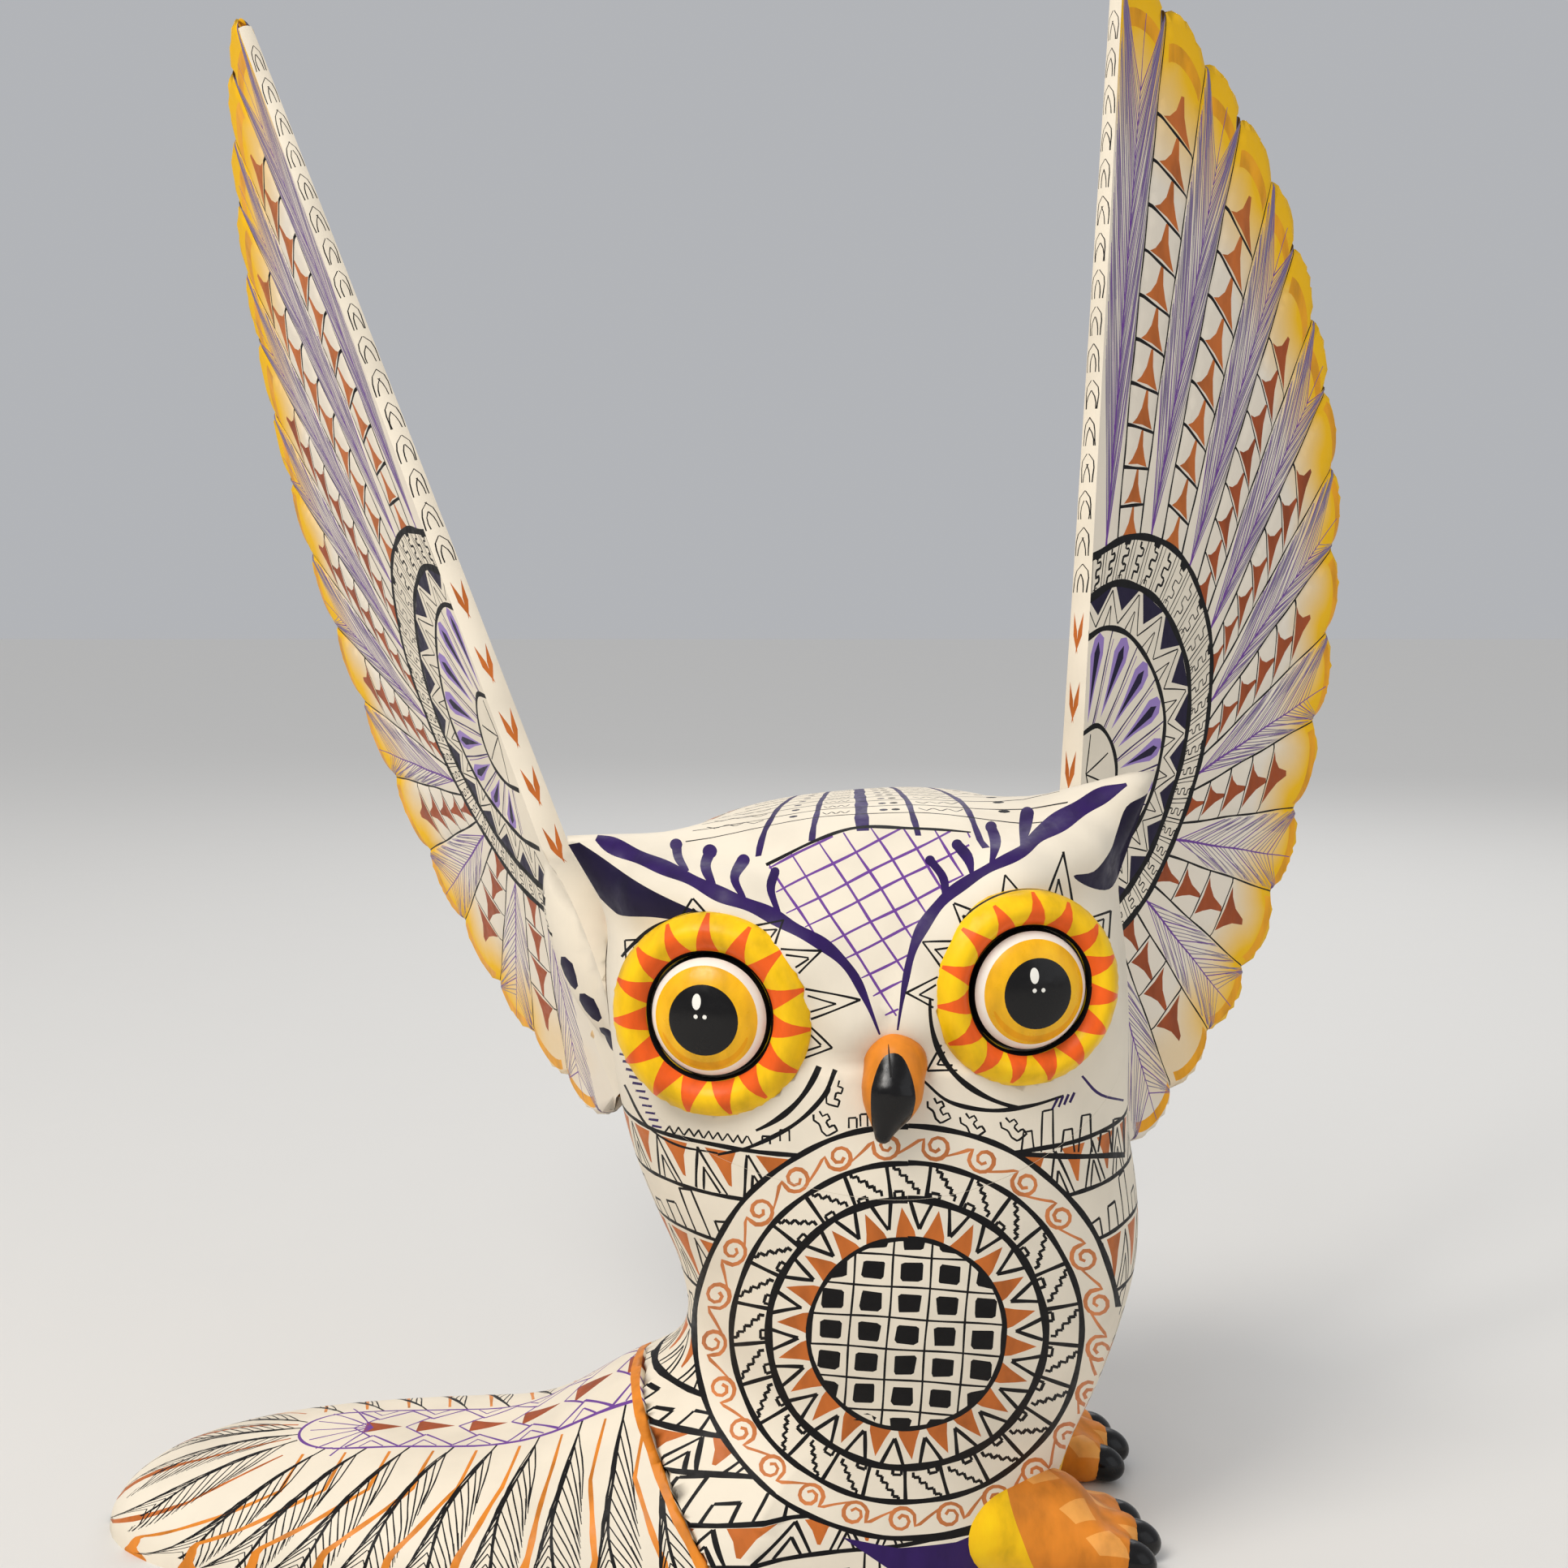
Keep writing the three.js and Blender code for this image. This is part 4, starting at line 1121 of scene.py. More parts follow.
def paint_medallion(design):
    design.layout = "sight"
    r = MEDALLION_RADIUS
    design.fill(arc(MEDALLION, r["edge"], 0, 358), "cream")
    running_spirals(design, MEDALLION, (r["edge"] + r["fret"]) / 2, 7.4, 25, 0.95, 96)
    fret = Band(arc(MEDALLION, r["teeth"], 97, -263), arc(MEDALLION, r["fret"], 97, -263))
    running_fret(design, fret, 25, 0.72)
    teeth = Band(arc(MEDALLION, r["grid"], 97, -263), arc(MEDALLION, r["teeth"], 97, -263))
    for cell in teeth.cells(22):
        flame = [(-0.08, 0.0), (0.1, 0.3), (0.27, 0.8), (0.44, 0.52), (0.66, 0.2), (0.74, 0.0)]
        design.fill(cell(flame), "rust")
        design.chain(cell([(0.5, 0.94), (0.82, 0.26), (1.06, 0.94)]), 0.85, "ink")
    turn = math.radians(-4)
    across, up = np.array([math.cos(turn), math.sin(turn)]), np.array([-math.sin(turn), math.cos(turn)])
    centre = np.array(MEDALLION)
    column, row, limit = 8.7, 7.3, r["grid"] - 0.3
    for i in range(-3, 4):
        for direction, normal, pitch in ((up, across, column), (across, up, row)):
            offset = (i + 0.5) * pitch
            if abs(offset) < limit:
                half = math.sqrt(limit ** 2 - offset ** 2)
                design.stroke([centre + normal * offset - direction * half,
                               centre + normal * offset + direction * half], 0.5, "ink", step=3)
    corners = [(-1, -0.7), (-0.8, -1), (0.75, -1), (1, -0.75), (1, 0.8), (0.8, 1), (-0.75, 1), (-1, 0.8)]
    for i in range(-3, 4):
        for j in range(-3, 4):
            middle = centre + across * i * column + up * j * row
            block = np.array([middle + across * 2.5 * u + up * 2.2 * v for u, v in corners])
            block += np.array([[hand.uniform(-0.25, 0.25), hand.uniform(-0.25, 0.25)] for _ in block])
            away = np.linalg.norm(block - centre, axis=1)
            if np.linalg.norm(middle - centre) < limit + 2 and away.min() < limit - 0.8:
                squeeze = np.minimum(1, limit / away)
                design.fill(centre + (block - centre) * squeeze[:, None], "ink")
    for size, width in ((r["grid"], 1.1), (r["teeth"], 1.7), (r["fret"], 1.3), (r["edge"], 1.3)):
        design.stroke(arc(MEDALLION, size, 90, 450), width, "ink", step=2)


def paint_legs(design):
    """A purple band and the yellow of the legs under the medallion, on the toe side."""
    design.layout = "girdle"
    legs = [(28, 3), (48, 6), (60, 12), (68, 18), (80, 25), (98, 24), (112, 12), (118, -2), (28, -2)]
    band = [(-22, 16), (-6, 12.6), (15, 12), (35, 14.5), (50, 16.5), (64, 19), (66, 15), (60, 11), (50, 5.5),
            (30, 2.5), (8, 2.5), (-9, 8)]
    design.fill(legs, "yellow")
    design.fill(band, "purple")


LEFT_BROW = [(-68.5, 183.5, 0.8), (-64.5, 181.5, 3.4), (-56.5, 178, 3.4), (-48.5, 174.5, 2.9),
             (-40.5, 170.5, 3.2), (-31.5, 167, 3.2), (-24.5, 163, 3.1), (-16.5, 158.5, 2.7),
             (-11, 153, 2.2), (-7.5, 146, 1.4), (-4.5, 138.5, 0.4)]
RIGHT_BROW = [(50, 195, 0.8), (43.5, 192, 3.9), (36.5, 187.5, 4.3), (30.5, 183.5, 3.6), (27, 180, 2.6),
              (20, 176.5, 2.4), (14.5, 173, 2.4), (9.5, 169, 2.7), (5, 163, 2.6), (2.5, 157, 2.0),
              (1, 149.5, 1.3), (-0.5, 139.5, 0.4)]
LEFT_EAR = [(-74, 181.5), (-72.5, 175), (-68, 170.5), (-64.5, 167), (-62, 165.5), (-55.5, 165.2),
            (-48.5, 164.5), (-42, 165.5), (-46.5, 167), (-54, 170.5), (-60, 174), (-67, 179), (-71.5, 182)]
RIGHT_EAR = [(56.5, 195), (54, 192.5), (50, 190), (48, 184.5), (46.5, 180), (43, 175.5), (38.5, 174.5),
             (42, 172), (46.5, 171.5), (49, 175.5), (52.5, 182), (55, 188.5)]
COMMAS = [
    [(-50, 181.5, 2.5), (-49.5, 178.5, 2.2), (-47.5, 175.5, 0.9)],
    [(-42.5, 180, 2.9), (-43.5, 176.5, 2.5), (-41.5, 172, 1.0)],
    [(-35, 178, 2.5), (-37, 174, 2.3), (-35, 169.5, 1.0)],
    [(-28, 175.5, 1.8), (-29, 171.5, 2), (-27, 165.5, 1.0)],
    [(28, 188.5, 2.7), (27.5, 184.5, 2.5), (27, 180.5, 1.0)],
    [(20, 185.5, 2.3), (21, 182, 2.2), (20, 177, 0.9)],
    [(12.5, 181.5, 2.2), (15, 178.5, 2.2), (16, 174.5, 0.9)],
    [(6.5, 178, 2.0), (9.5, 174, 2.0), (10, 169.5, 1.0)],
]
FOREHEAD_TOP = [(-30, 177), (-20, 182), (-9.5, 185.3), (2, 185.3), (15.5, 184.2)]
FOREHEAD = [*FOREHEAD_TOP, (14.5, 175), (7.5, 168.5), (3, 161), (0.5, 151.5), (-0.5, 143), (-2.5, 141.5),
            (-6.5, 148), (-11, 155), (-17.5, 160.5), (-24.5, 165), (-28, 168.5), (-27.5, 174)]


def clipped(start, end, polygon):
    """The parts of a straight line that lie inside a polygon."""
    start, end = np.array(start, float), np.array(end, float)
    cuts = [0.0, 1.0]
    ring = np.array([*polygon, polygon[0]], float)
    for a, b in zip(ring, ring[1:]):
        matrix = np.stack([end - start, a - b], axis=1)
        if abs(np.linalg.det(matrix)) > 1e-9:
            t, u = np.linalg.solve(matrix, a - start)
            if 0 < t < 1 and 0 <= u <= 1:
                cuts.append(t)
    cuts.sort()
    parts = []
    for low, high in zip(cuts, cuts[1:]):
        if high - low > 0.01 and is_inside(start + (end - start) * (low + high) / 2, ring):
            parts.append((start + (end - start) * low, start + (end - start) * high))
    return parts


def is_inside(point, ring):
    inside = False
    for a, b in zip(ring, ring[1:]):
        if (a[1] > point[1]) != (b[1] > point[1]):
            if point[0] < a[0] + (point[1] - a[1]) / (b[1] - a[1]) * (b[0] - a[0]):
                inside = not inside
    return inside


def paint_brows(design):
    design.layout = "sight"
    for slope, spacing in ((27, 5.2), (-57, 5.8)):
        direction = np.array([math.cos(math.radians(slope)), math.sin(math.radians(slope))])
        normal = np.array([-direction[1], direction[0]])
        for i in range(-9, 10):
            middle = np.array([-7.0, 164.0]) + normal * (i * spacing + hand.uniform(-0.5, 0.5))
            for a, b in clipped(middle - direction * 60, middle + direction * 60, FOREHEAD):
                design.stroke([a, b], 0.62, "violet", ends=(0.5, 0.7), step=3)
    design.stroke(curve(FOREHEAD_TOP), 0.7, "ink", ends=(1, 0.5))
    design.fill(curve(LEFT_EAR, 4), "navy")
    design.fill(curve(RIGHT_EAR, 4), "navy")
    for line in (LEFT_BROW, RIGHT_BROW, *COMMAS):
        design.stroke(curve(line, 5), 1, "purple", step=0.9, wobble=0.05)
    for (x, z, width), *_ in COMMAS:
        design.fill(arc((x, z), width * 0.56, 0, 330, 0.5), "purple")


def paint_crown(design):
    """Purple bars over the crown with fine lines, dots and zigzags between them, running back to the nape."""
    design.layout = "crown"
    for x, width in ((-29, 1.7), (-15.5, 1.7), (-2, 3.8), (12.5, 1.7), (28, 1.6)):
        bar = [(x, -4 - abs(x) * 0.25), (x * 0.98, 12), (x * 0.93, 34), (x * 0.84, 50), (x * 0.76, 62)]
        design.stroke(curve(bar), width, "purple", step=4)
    for y in np.arange(6, 60, 6.5):
        shrink = 1 - max(y - 20, 0) / 130
        line = [(-47 * shrink, y - 5), (-15.5 * shrink, y), (12.5 * shrink, y), (46 * shrink, y - 4)]
        design.stroke(line, 0.5, "ink", step=5)
        for low, high in ((-46, -29), (-15, -4), (13, 28)):
            xs = np.linspace(low + 1.5, high - 1.5, 7) * shrink
            zigzag = [(x, y + (1.4 if i % 2 else 3.4)) for i, x in enumerate(xs)]
            design.stroke(zigzag, 0.42, "ink", step=1.0, wobble=0)
        for x, paint in ((-22, "navy"), (4.5, "navy"), (8, "ink"), (36, "ink")):
            design.fill(oval(x * shrink, y + 2.6, 1.3, 0.9, 0.8), paint)


def paint_nape(design):
    """The belly's bands go on up the back of the head, round the crown's pole."""
    design.layout = "crown"
    for i, (outer, inner) in enumerate(((93.5, 82), (82, 71), (71, 61))):
        around = (12, 168) if i < 2 else (30, 150)
        band = Band(arc((0, 0), outer, *around), arc((0, 0), inner, *around))
        if i % 2:
            skyline(design, band, 24, 0.6)
        else:
            tents_and_rust(design, band, 20, 0.65)
        design.stroke(arc((0, 0), inner, *around), 0.9, "ink", step=3)


def star_points(design, centre, radius, tips, base=7.0, line=0.5):
    """Double outlined triangles that stand on an eye's rim. Each tip is an angle, a height and a lean."""
    for angle, height, lean in tips:
        half = math.degrees(base / radius / 2)

        def place(turn, out):
            a = math.radians(turn)
            return (centre[0] + out * math.cos(a), centre[1] + out * math.sin(a))
        for scale, width in ((1.0, line), (0.52, line * 0.9)):
            left, right = place(angle - half * scale, radius), place(angle + half * scale, radius)
            tip = place(angle + lean, radius + height * scale)
            design.stroke([left, tip], width, "ink")
            design.stroke([tip, right], width, "ink")


def paint_face(design):
    design.layout = "sight"
    left, right = (-43.5, 141.5), (30, 145)
    star_points(design, left, 23.5, [(96, 4.5, 0), (57, 5.5, -4), (36, 7, -4), (10, 11.5, -2), (-12, 5.5, 0)])
    star_points(design, right, 22.5, [(76, 13, 4), (101, 8, 2), (125, 7, 3), (148, 6.5, 2), (172, 6.5, 2),
                                      (212, 5.5, 0), (52, 5, 0)])
    paint_eye_lines(design, left, right)
    paint_cheeks(design)
    paint_chin(design)


def paint_eye_lines(design, left, right):
    """The lines under and between the eyes."""
    design.stroke(arc(left, 24.0, 142, 88), 1.2, "ink", ends=(0.5, 0.4))
    design.stroke(arc(right, 23.4, 176, 262), 1.3, "ink", ends=(0.4, 0.6))
    design.stroke(arc(left, 27.5, -66, -22), 1.3, "ink", ends=(0.5, 1))
    design.stroke(curve([(-62, 127), (-57, 118), (-50, 113), (-41, 111.2)]), 0.5, "ink")
    under_right = [(5.5, 128), (11.5, 123), (20.5, 121), (29.5, 122.3), (37, 124.5)]
    design.stroke(curve(under_right), 1.0, "ink", ends=(0.5, 0.5))
    design.stroke(curve([(-41, 111), (-33, 113), (-24, 117.5), (-17.5, 124), (-14.5, 130.5)]), 1.0, "ink",
                  ends=(0.5, 1.2))


def paint_cheeks(design):
    """Stair motifs beside the beak and blocks over the chin line."""
    for x, z, turn in ((-13.5, 128, -105), (-18, 121, -60), (7.8, 124, -62), (15, 120.5, -55),
                       (24, 119.5, -50)):
        c, s = cos_sin(turn)
        run, side = np.array([c, s]), np.array([-s, c])
        stair = [(0, 0), (1.4, 0), (1.4, 1.2), (2.8, 1.2), (2.8, 0), (4.4, 0), (4.4, 1.2), (5.9, 1.2),
                 (5.9, -1.4), (4.3, -1.9), (2.7, -1.5), (1.2, -2.2), (0, -1.6)]
        path = [np.array([x, z]) + run * u + side * v for u, v in stair]
        design.stroke(path, 0.5, "ink", step=0.7, wobble=0.05)
    for x, z, wide, tall in ((-27, 114, 2.3, 2.6), (-11.5, 117, 1.8, 2.4), (-8.8, 117.4, 1.7, 2.8),
                             (-31, 113.3, 1.8, 1.9)):
        design.chain([(x, z), (x, z + tall), (x + wide, z + tall), (x + wide, z)], 0.45, "ink")
    for x, tall in ((27.5, 4.5), (32, 9.5), (36.6, 5), (40.6, 8.3), (45, 4.4), (48, 7.6)):
        block = [(x, 111.5), (x + 0.4, 111.5 + tall), (x + 2.5, 112 + tall), (x + 3, 111.5)]
        design.chain(block, 0.45, "ink")


def paint_chin(design):
    """The line over the breast, with small strokes and zigzags on the cheeks."""
    design.stroke(curve([(3, 116.5), (16, 114), (25, 111.2), (38, 110.6), (51, 110.8)]), 1.25, "ink", step=3)
    for i in range(11):
        t = i / 10
        x, z = -63 + 7.2 * t, 134 - 16.5 * t
        design.stroke([(x, z), (x + 2.2, z - 0.4)], 0.55, "purple")
    for i in range(4):
        design.stroke([(34.5 + i * 1.3, 121.4 + i * 0.5), (35.6 + i * 1.3, 124 + i * 0.4)], 0.55, "purple")
    for i in range(9):
        x = -53 + i * 2.2
        tooth = [(x, 116 - i * 0.32), (x + 1.1, 117.6 - i * 0.3), (x + 2.2, 115.8 - i * 0.32)]
        design.chain(tooth, 0.4, "ink")
    design.stroke(curve([(41, 129), (45, 125), (50.5, 123.5)]), 0.6, "purple")
    for x, z in ((-61.5, 160), (-60, 155)):
        for start, right_end, low_end in (((0, 0), (6, 0.5), (0.4, -6)), ((2, -1.5), (5, -1.2), (1.5, -5))):
            for end in (right_end, low_end):
                design.stroke(np.array([start, end]) + [x, z], 0.4, "ink")


def joint_line(count=90):
    """Where the tail's joint meets the surface, in the tail's chart."""
    turn = np.linspace(-math.pi / 2, math.pi / 2, count)
    x = np.full(count, -50.0)
    for _ in range(25):
        p = on_tail(np.stack([x, turn * TAIL_SCALE], axis=1))
        x = 0.5 * x + 0.5 * (TAIL_JOINT_X - np.maximum(p[:, 2], 0) * math.tan(math.radians(TAIL_JOINT_SLOPE)))
    return np.stack([x, turn * TAIL_SCALE], axis=1)


PANEL_END = -147.0             # the tail's top panel, from here up to the joint
PANEL_HALF = 10.5              # in the tail chart
TAIL_EDGE = math.pi / 2 * TAIL_SCALE


def paint_tail(design):
    """Rounded feather lobes with orange wedges between them, and a panel of rust triangles along the top."""
    design.layout = "tail"
    roots = np.linspace(-141, -54, 9)
    feet = np.linspace(-186, -38, 10)
    for side in SIDES:
        for i, root in enumerate(roots):
            start = np.array([root, side * PANEL_HALF])
            low = np.array([(feet[i] + feet[i + 1]) / 2 - 1, side * (TAIL_EDGE - 1)])
            wedge = [(root - 5, side * (PANEL_HALF + 2), 0.7), (root - 7.5, side * 27, 1.0),
                     (feet[i] + 1, side * 50, 1.7), (feet[i] - 1, side * 62, 3.2), (feet[i], side * 72, 8)]
            design.stroke(wedge, 1, "amber", step=3)
            paint_barbed_lobe(design, start, low, side)
    for angle in (-0.9, -0.3, 0.3, 0.9):
        start = np.array([PANEL_END - 2, 6 * angle])
        low = np.array([-192, 46 * angle])
        wedge = [(PANEL_END - 4, 14 * angle, 0.6), (-172, 33 * angle, 1.0), (-196, 52 * angle + 5, 5)]
        design.stroke(wedge, 1, "rust", step=3)
        paint_barbed_lobe(design, start, low, 1 if angle > 0 else -1)
    panel = [(-45, -PANEL_HALF), (PANEL_END + 8, -PANEL_HALF), *arc((PANEL_END + 8, 0), PANEL_HALF, 270, 90, 4),
             (-45, PANEL_HALF)]
    design.fill(panel, "cream")
    for side in SIDES:
        design.stroke([(-52, side * PANEL_HALF), (PANEL_END + 8, side * PANEL_HALF)], 0.8, "violet", step=4)
    design.stroke(arc((PANEL_END + 8, 0), PANEL_HALF, 270, 90), 0.8, "violet")
    for i in range(7):
        x = -130 + i * 13.5
        design.fill([(x - 3, -3.0), (x - 3, 3.4), (x + 6.5, 0.2)], "rust_dark")
        for end in (5.2, -5.2):
            design.stroke([(x - 6, 0), (x - 0.5, end)], 0.5, "violet")
        for side in SIDES:
            design.chain([(x - 6, side * 10), (x, side * 4.6), (x + 7.5, side * 10)], 0.6, "violet")
            design.chain([(x - 2.5, side * 10), (x, side * 7.2), (x + 3.5, side * 10)], 0.4, "violet")
    for angle in np.linspace(-60, 60, 7):
        a = math.radians(180 - angle)
        hub = np.array([PANEL_END + 16, 0])
        design.stroke([hub, hub + np.array([math.cos(a), math.sin(a)]) * 16], 0.45, "violet")


def paint_barbed_lobe(design, start, low, side):
    """A black vein with herringbone barbs that spread towards the lobe's rounded end."""
    start, low = np.asarray(start, float), np.asarray(low, float)
    run = low - start
    across = np.array([-run[1], run[0]]) / np.linalg.norm(run)
    sag = across * side * 3.0
    vein = curve([start, start + run * 0.45 + sag, start + run * 0.84])
    design.stroke(np.column_stack([vein, np.linspace(0.5, 0.9, len(vein))]), 1, "ink", step=3)
    for i in range(13):
        t = 0.05 + 0.06 * i
        foot = start + run * t + sag * math.sin(math.pi * t)
        spread = 3.0 + 6.0 * t
        for turn in SIDES:
            tip = start + run * min(t + 0.3, 1.0) + across * turn * spread
            barb = [foot, (foot + tip) / 2 + across * turn * 0.7, tip]
            design.stroke(barb, 0.4, "ink", ends=(0.8, 0.5), step=4)
            middle = foot * 0.35 + tip * 0.65 + run * 0.03
            design.stroke([middle, tip + run * 0.03], 0.26, "ink", ends=(0.6, 0.6), step=5)


def figure_marks():
    """Every mark on the belly, head and tail, as outlines in space."""
    design = Design()
    paint_bands(design)
    paint_legs(design)
    paint_crown(design)
    paint_nape(design)
    paint_brows(design)
    paint_face(design)
    paint_medallion(design)
    paint_tail(design)
    design.layout = "tail"
    design.stroke(joint_line() - [1.3, 0], 2.4, "amber", step=3)
    return in_space(design.marks)


def in_space(marks):
    layouts = {"sight": sighted, "girdle": on_girdle, "crown": on_crown, "tail": on_tail}
    placed = [None] * len(marks)
    for layout, place in layouts.items():
        chosen = [i for i, m in enumerate(marks) if m[2] == layout]
        if not chosen:
            continue
        points = place(np.vstack([marks[i][0] for i in chosen]))
        at = 0
        for i in chosen:
            count = len(marks[i][0])
            placed[i] = (points[at:at + count], marks[i][1], layout)
            at += count
    return placed


LONGEST_PATCH = 14.0            # a longer piece of one brushed line has jumped from one surface to another


SIGHT_MISS_Y = -100             # a design's point in front of this missed the body
WIDEST_MARK = (90, 110)         # in a chart, for a mark that isn't a long outline


def marks_on(placed, flatten, belongs, layouts, turn=None):
    """The marks that reach a piece, in its chart. turn is the length once round a closed chart."""
    chosen = []
    for points, paint, layout in placed:
        if layout not in layouts:
            continue
        seen = points[:, 1] > SIGHT_MISS_Y
        if len(points) > 4:
            points = points[seen]
        elif not seen.all() or np.ptp(points, axis=0).max() > LONGEST_PATCH:
            continue
        if len(points) < 3 or not belongs(points).any():
            continue
        flat = flatten(points)
        if turn is not None and np.ptp(flat[:, 0]) > turn / 2:
            flat[flat[:, 0] < 0, 0] += turn
            chosen.append((flat - [turn, 0], paint))
        if (np.ptp(flat, axis=0) < WIDEST_MARK).all() or len(points) > 30:
            chosen.append((flat, paint))
    return chosen


# ---------- belly, head and tail ----------

SEAM_SKIN = 0.04                # paint bridges the neck seam to a hairline


def neck_side(p):
    return (p - HEAD) @ HEAD_POLE


def torso_rim(count=160):
    """The belly's upper edge, along the neck seam, in the belly's chart."""
    angle = np.linspace(-math.pi, math.pi, count)
    z = np.full(count, 125.0)
    for _ in range(40):
        p = on_girdle(np.stack([angle * TORSO_SCALE, z], axis=1))
        seam = HEAD[2] + p[:, 1] * math.tan(math.radians(NECK_SLOPE)) - SEAM_SKIN
        z = 0.75 * z + 0.25 * seam
    return np.stack([angle * TORSO_SCALE, z], axis=1)


def cap(name, loop, centre, normal, paint):
    """A flat face that closes a piece's open end."""
    place = np.vstack([loop, [centre]])
    last = len(loop)
    triangles = np.array([(i, (i + 1) % last, last) for i in range(last)])
    return build_mesh(name, place, np.repeat(np.array([normal], float), last + 1, axis=0), triangles,
                      [paint] * len(triangles))


def peg_entries(side):
    """Where a wing's pegs enter the shoulder and which way they point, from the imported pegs."""
    entries = []
    for level in ("upper", "lower"):
        low, high = (np.array(c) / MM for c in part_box(f"wing_peg_{side}_{level}"))
        outward = pull_direction(side)
        middle = (low + high) / 2
        far = cast(np.array([middle - outward * 30]), np.array([outward]), body_field, reach=70, step=1.0)[0]
        entries.append((middle - outward * 30 + outward * far, outward))
    return entries


def peg_socket(entry, outward, radius=2.8, depth=14.3):
    """The outline of a peg's hole in the shoulder, and the bare wood wall and floor inside it."""
    side = np.cross(outward, [0, 0, 1.0])
    side /= np.linalg.norm(side)
    up = np.cross(side, outward)
    angles = np.linspace(0, 2 * math.pi, 24, endpoint=False)
    circle = np.outer(np.cos(angles), side) * radius + np.outer(np.sin(angles), up) * radius
    start = entry + circle + outward * 8
    inward = np.repeat(-outward[None], len(start), axis=0)
    near, far = np.zeros(len(start)), np.full(len(start), 20.0)
    _, reach = halved(lambda d: body_field(start + inward * d) >= 0, near, far, rounds=18)
    rim = start + inward * reach[:, None]
    floor = entry - outward * depth + circle
    centre = entry - outward * depth
    place = np.vstack([rim, floor, [centre]])
    count = len(angles)
    triangles = []
    for i in range(count):
        j = (i + 1) % count
        triangles += [(i, j, count + j), (i, count + j, count + i), (count + i, count + j, 2 * count)]
    normal = unit_rows(np.vstack([-circle, -circle, [outward]]))
    wall = build_mesh("socket", place, normal, np.array(triangles), ["wood"] * len(triangles))
    return rim, wall


def make_torso(placed):
    def belongs(p):
        return (neck_side(p) < 1.5) & (beyond_tail_joint(p) < 2.5)
    marks = marks_on(placed, torso_flat, belongs, ("girdle", "sight"), turn=2 * AROUND)
    rim = torso_rim()
    base = np.stack([np.linspace(AROUND, -AROUND, 120), np.zeros(120)], axis=1)
    region = np.vstack([rim, base])
    holes, parts = [], []
    for side in WINGS:
        for entry, outward in peg_entries(side):
            outline, wall = peg_socket(entry, outward)
            holes.append(torso_flat(outline))
            parts.append(wall)
    skin = wrap("torso_skin", marks, region, torso_surface, 3.4, "cream", holes=holes)
    bottom, _ = torso_surface(base)
    top, _ = torso_surface(rim)
    parts += [cap("torso_base", bottom[:-1], (0, 0, 0), (0, 0, -1), "wood"),
              cap("torso_neck", top[:-1], HEAD - HEAD_POLE * SEAM_SKIN, HEAD_POLE, "cream")]
    torso = joined("torso_painted", [skin, *parts])
    ride_on(torso, BODY, "painted_body", "torso")


def make_head(placed):
    marks = marks_on(placed, head_flat, lambda p: neck_side(p) > -1.5, ("girdle", "sight", "crown"))
    region = arc((0, 0), HEAD_RIM, 0, 359, 2.0)

    def surface(flat):
        p, normal = head_surface(flat)
        return sunk_under_eyes(p), normal
    skin = wrap("head_skin", marks, region, surface, 3.0, "cream")
    loop, _ = head_surface(region)
    under = cap("head_seam", loop, HEAD, -HEAD_POLE, "cream")
    head = joined("head_painted", [skin, under])
    ride_on(head, BODY, "painted_head", "head")


def make_tail(placed):
    def belongs(p):
        return beyond_tail_joint(p) > -2.5
    marks = marks_on(placed, tail_flat, belongs, ("tail",))
    line = joint_line()
    tip = -198.0 + 0.2
    corners = [(tip, -TAIL_EDGE), (TAIL_JOINT_X, -TAIL_EDGE), (TAIL_JOINT_X, TAIL_EDGE), (tip, TAIL_EDGE)]
    region = closed(corners, 3.0)
    skin = wrap("tail_skin", marks, region, tail_surface, 3.2, "cream")
    loop, _ = tail_surface(region)
    loop = loop[np.abs(region[:, 1]) > TAIL_EDGE - 0.01] * [1, 1, 0]
    under = cap("tail_base", loop, (-110, 0, 0), (0, 0, -1), "wood")
    tail = joined("tail_painted", [skin, under])
    ride_on(tail, BODY, "painted_tail", "tail")


# ---------- eyes, beak and feet ----------

EYE_TURN = {"left": -15, "right": 17}
EYE_RING_BULGE = 5.0
PLUG_RADIUS = 14.0
PLUG_BULGE = 7.5
EYE_DEPTH = 13.0
PROFILE_SHARES = np.linspace(0, 1, 40)
EYE_RING_PAINT = 0.9            # the gesso and paint that thicken a ring


def eye_frame(side):
    """The eye's centre on the face, its axes across and up, and the way it looks."""
    low, high = (np.array(c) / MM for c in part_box("eyeball_" + side))
    c, s = cos_sin(EYE_TURN[side])
    across, look = np.array([c, s, 0]), np.array([s, -c, 0])
    front = (low + high) / 2
    reach = (1.5 + PLUG_BULGE - EYE_DEPTH) / 2
    return front - look * reach, across, np.array([0, 0, 1.0]), look


def ring_radius(side):
    low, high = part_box("eye_ring_" + side)
    return (high[2] - low[2]) / 2 / MM


def sunk_under_eyes(p):
    """Keeps the face's wood below the eye rings, where their seats are cut."""
    for side in WINGS:
        centre, across, up, look = eye_frame(side)
        local = p - centre
        out = local @ look
        away = np.hypot(local @ across, local @ up)
        proud = (away < ring_radius(side) - 0.8) & (out > -2.0)
        p = np.where(proud[:, None], p - look * np.where(proud, out + 2.0, 0)[:, None], p)
    return p


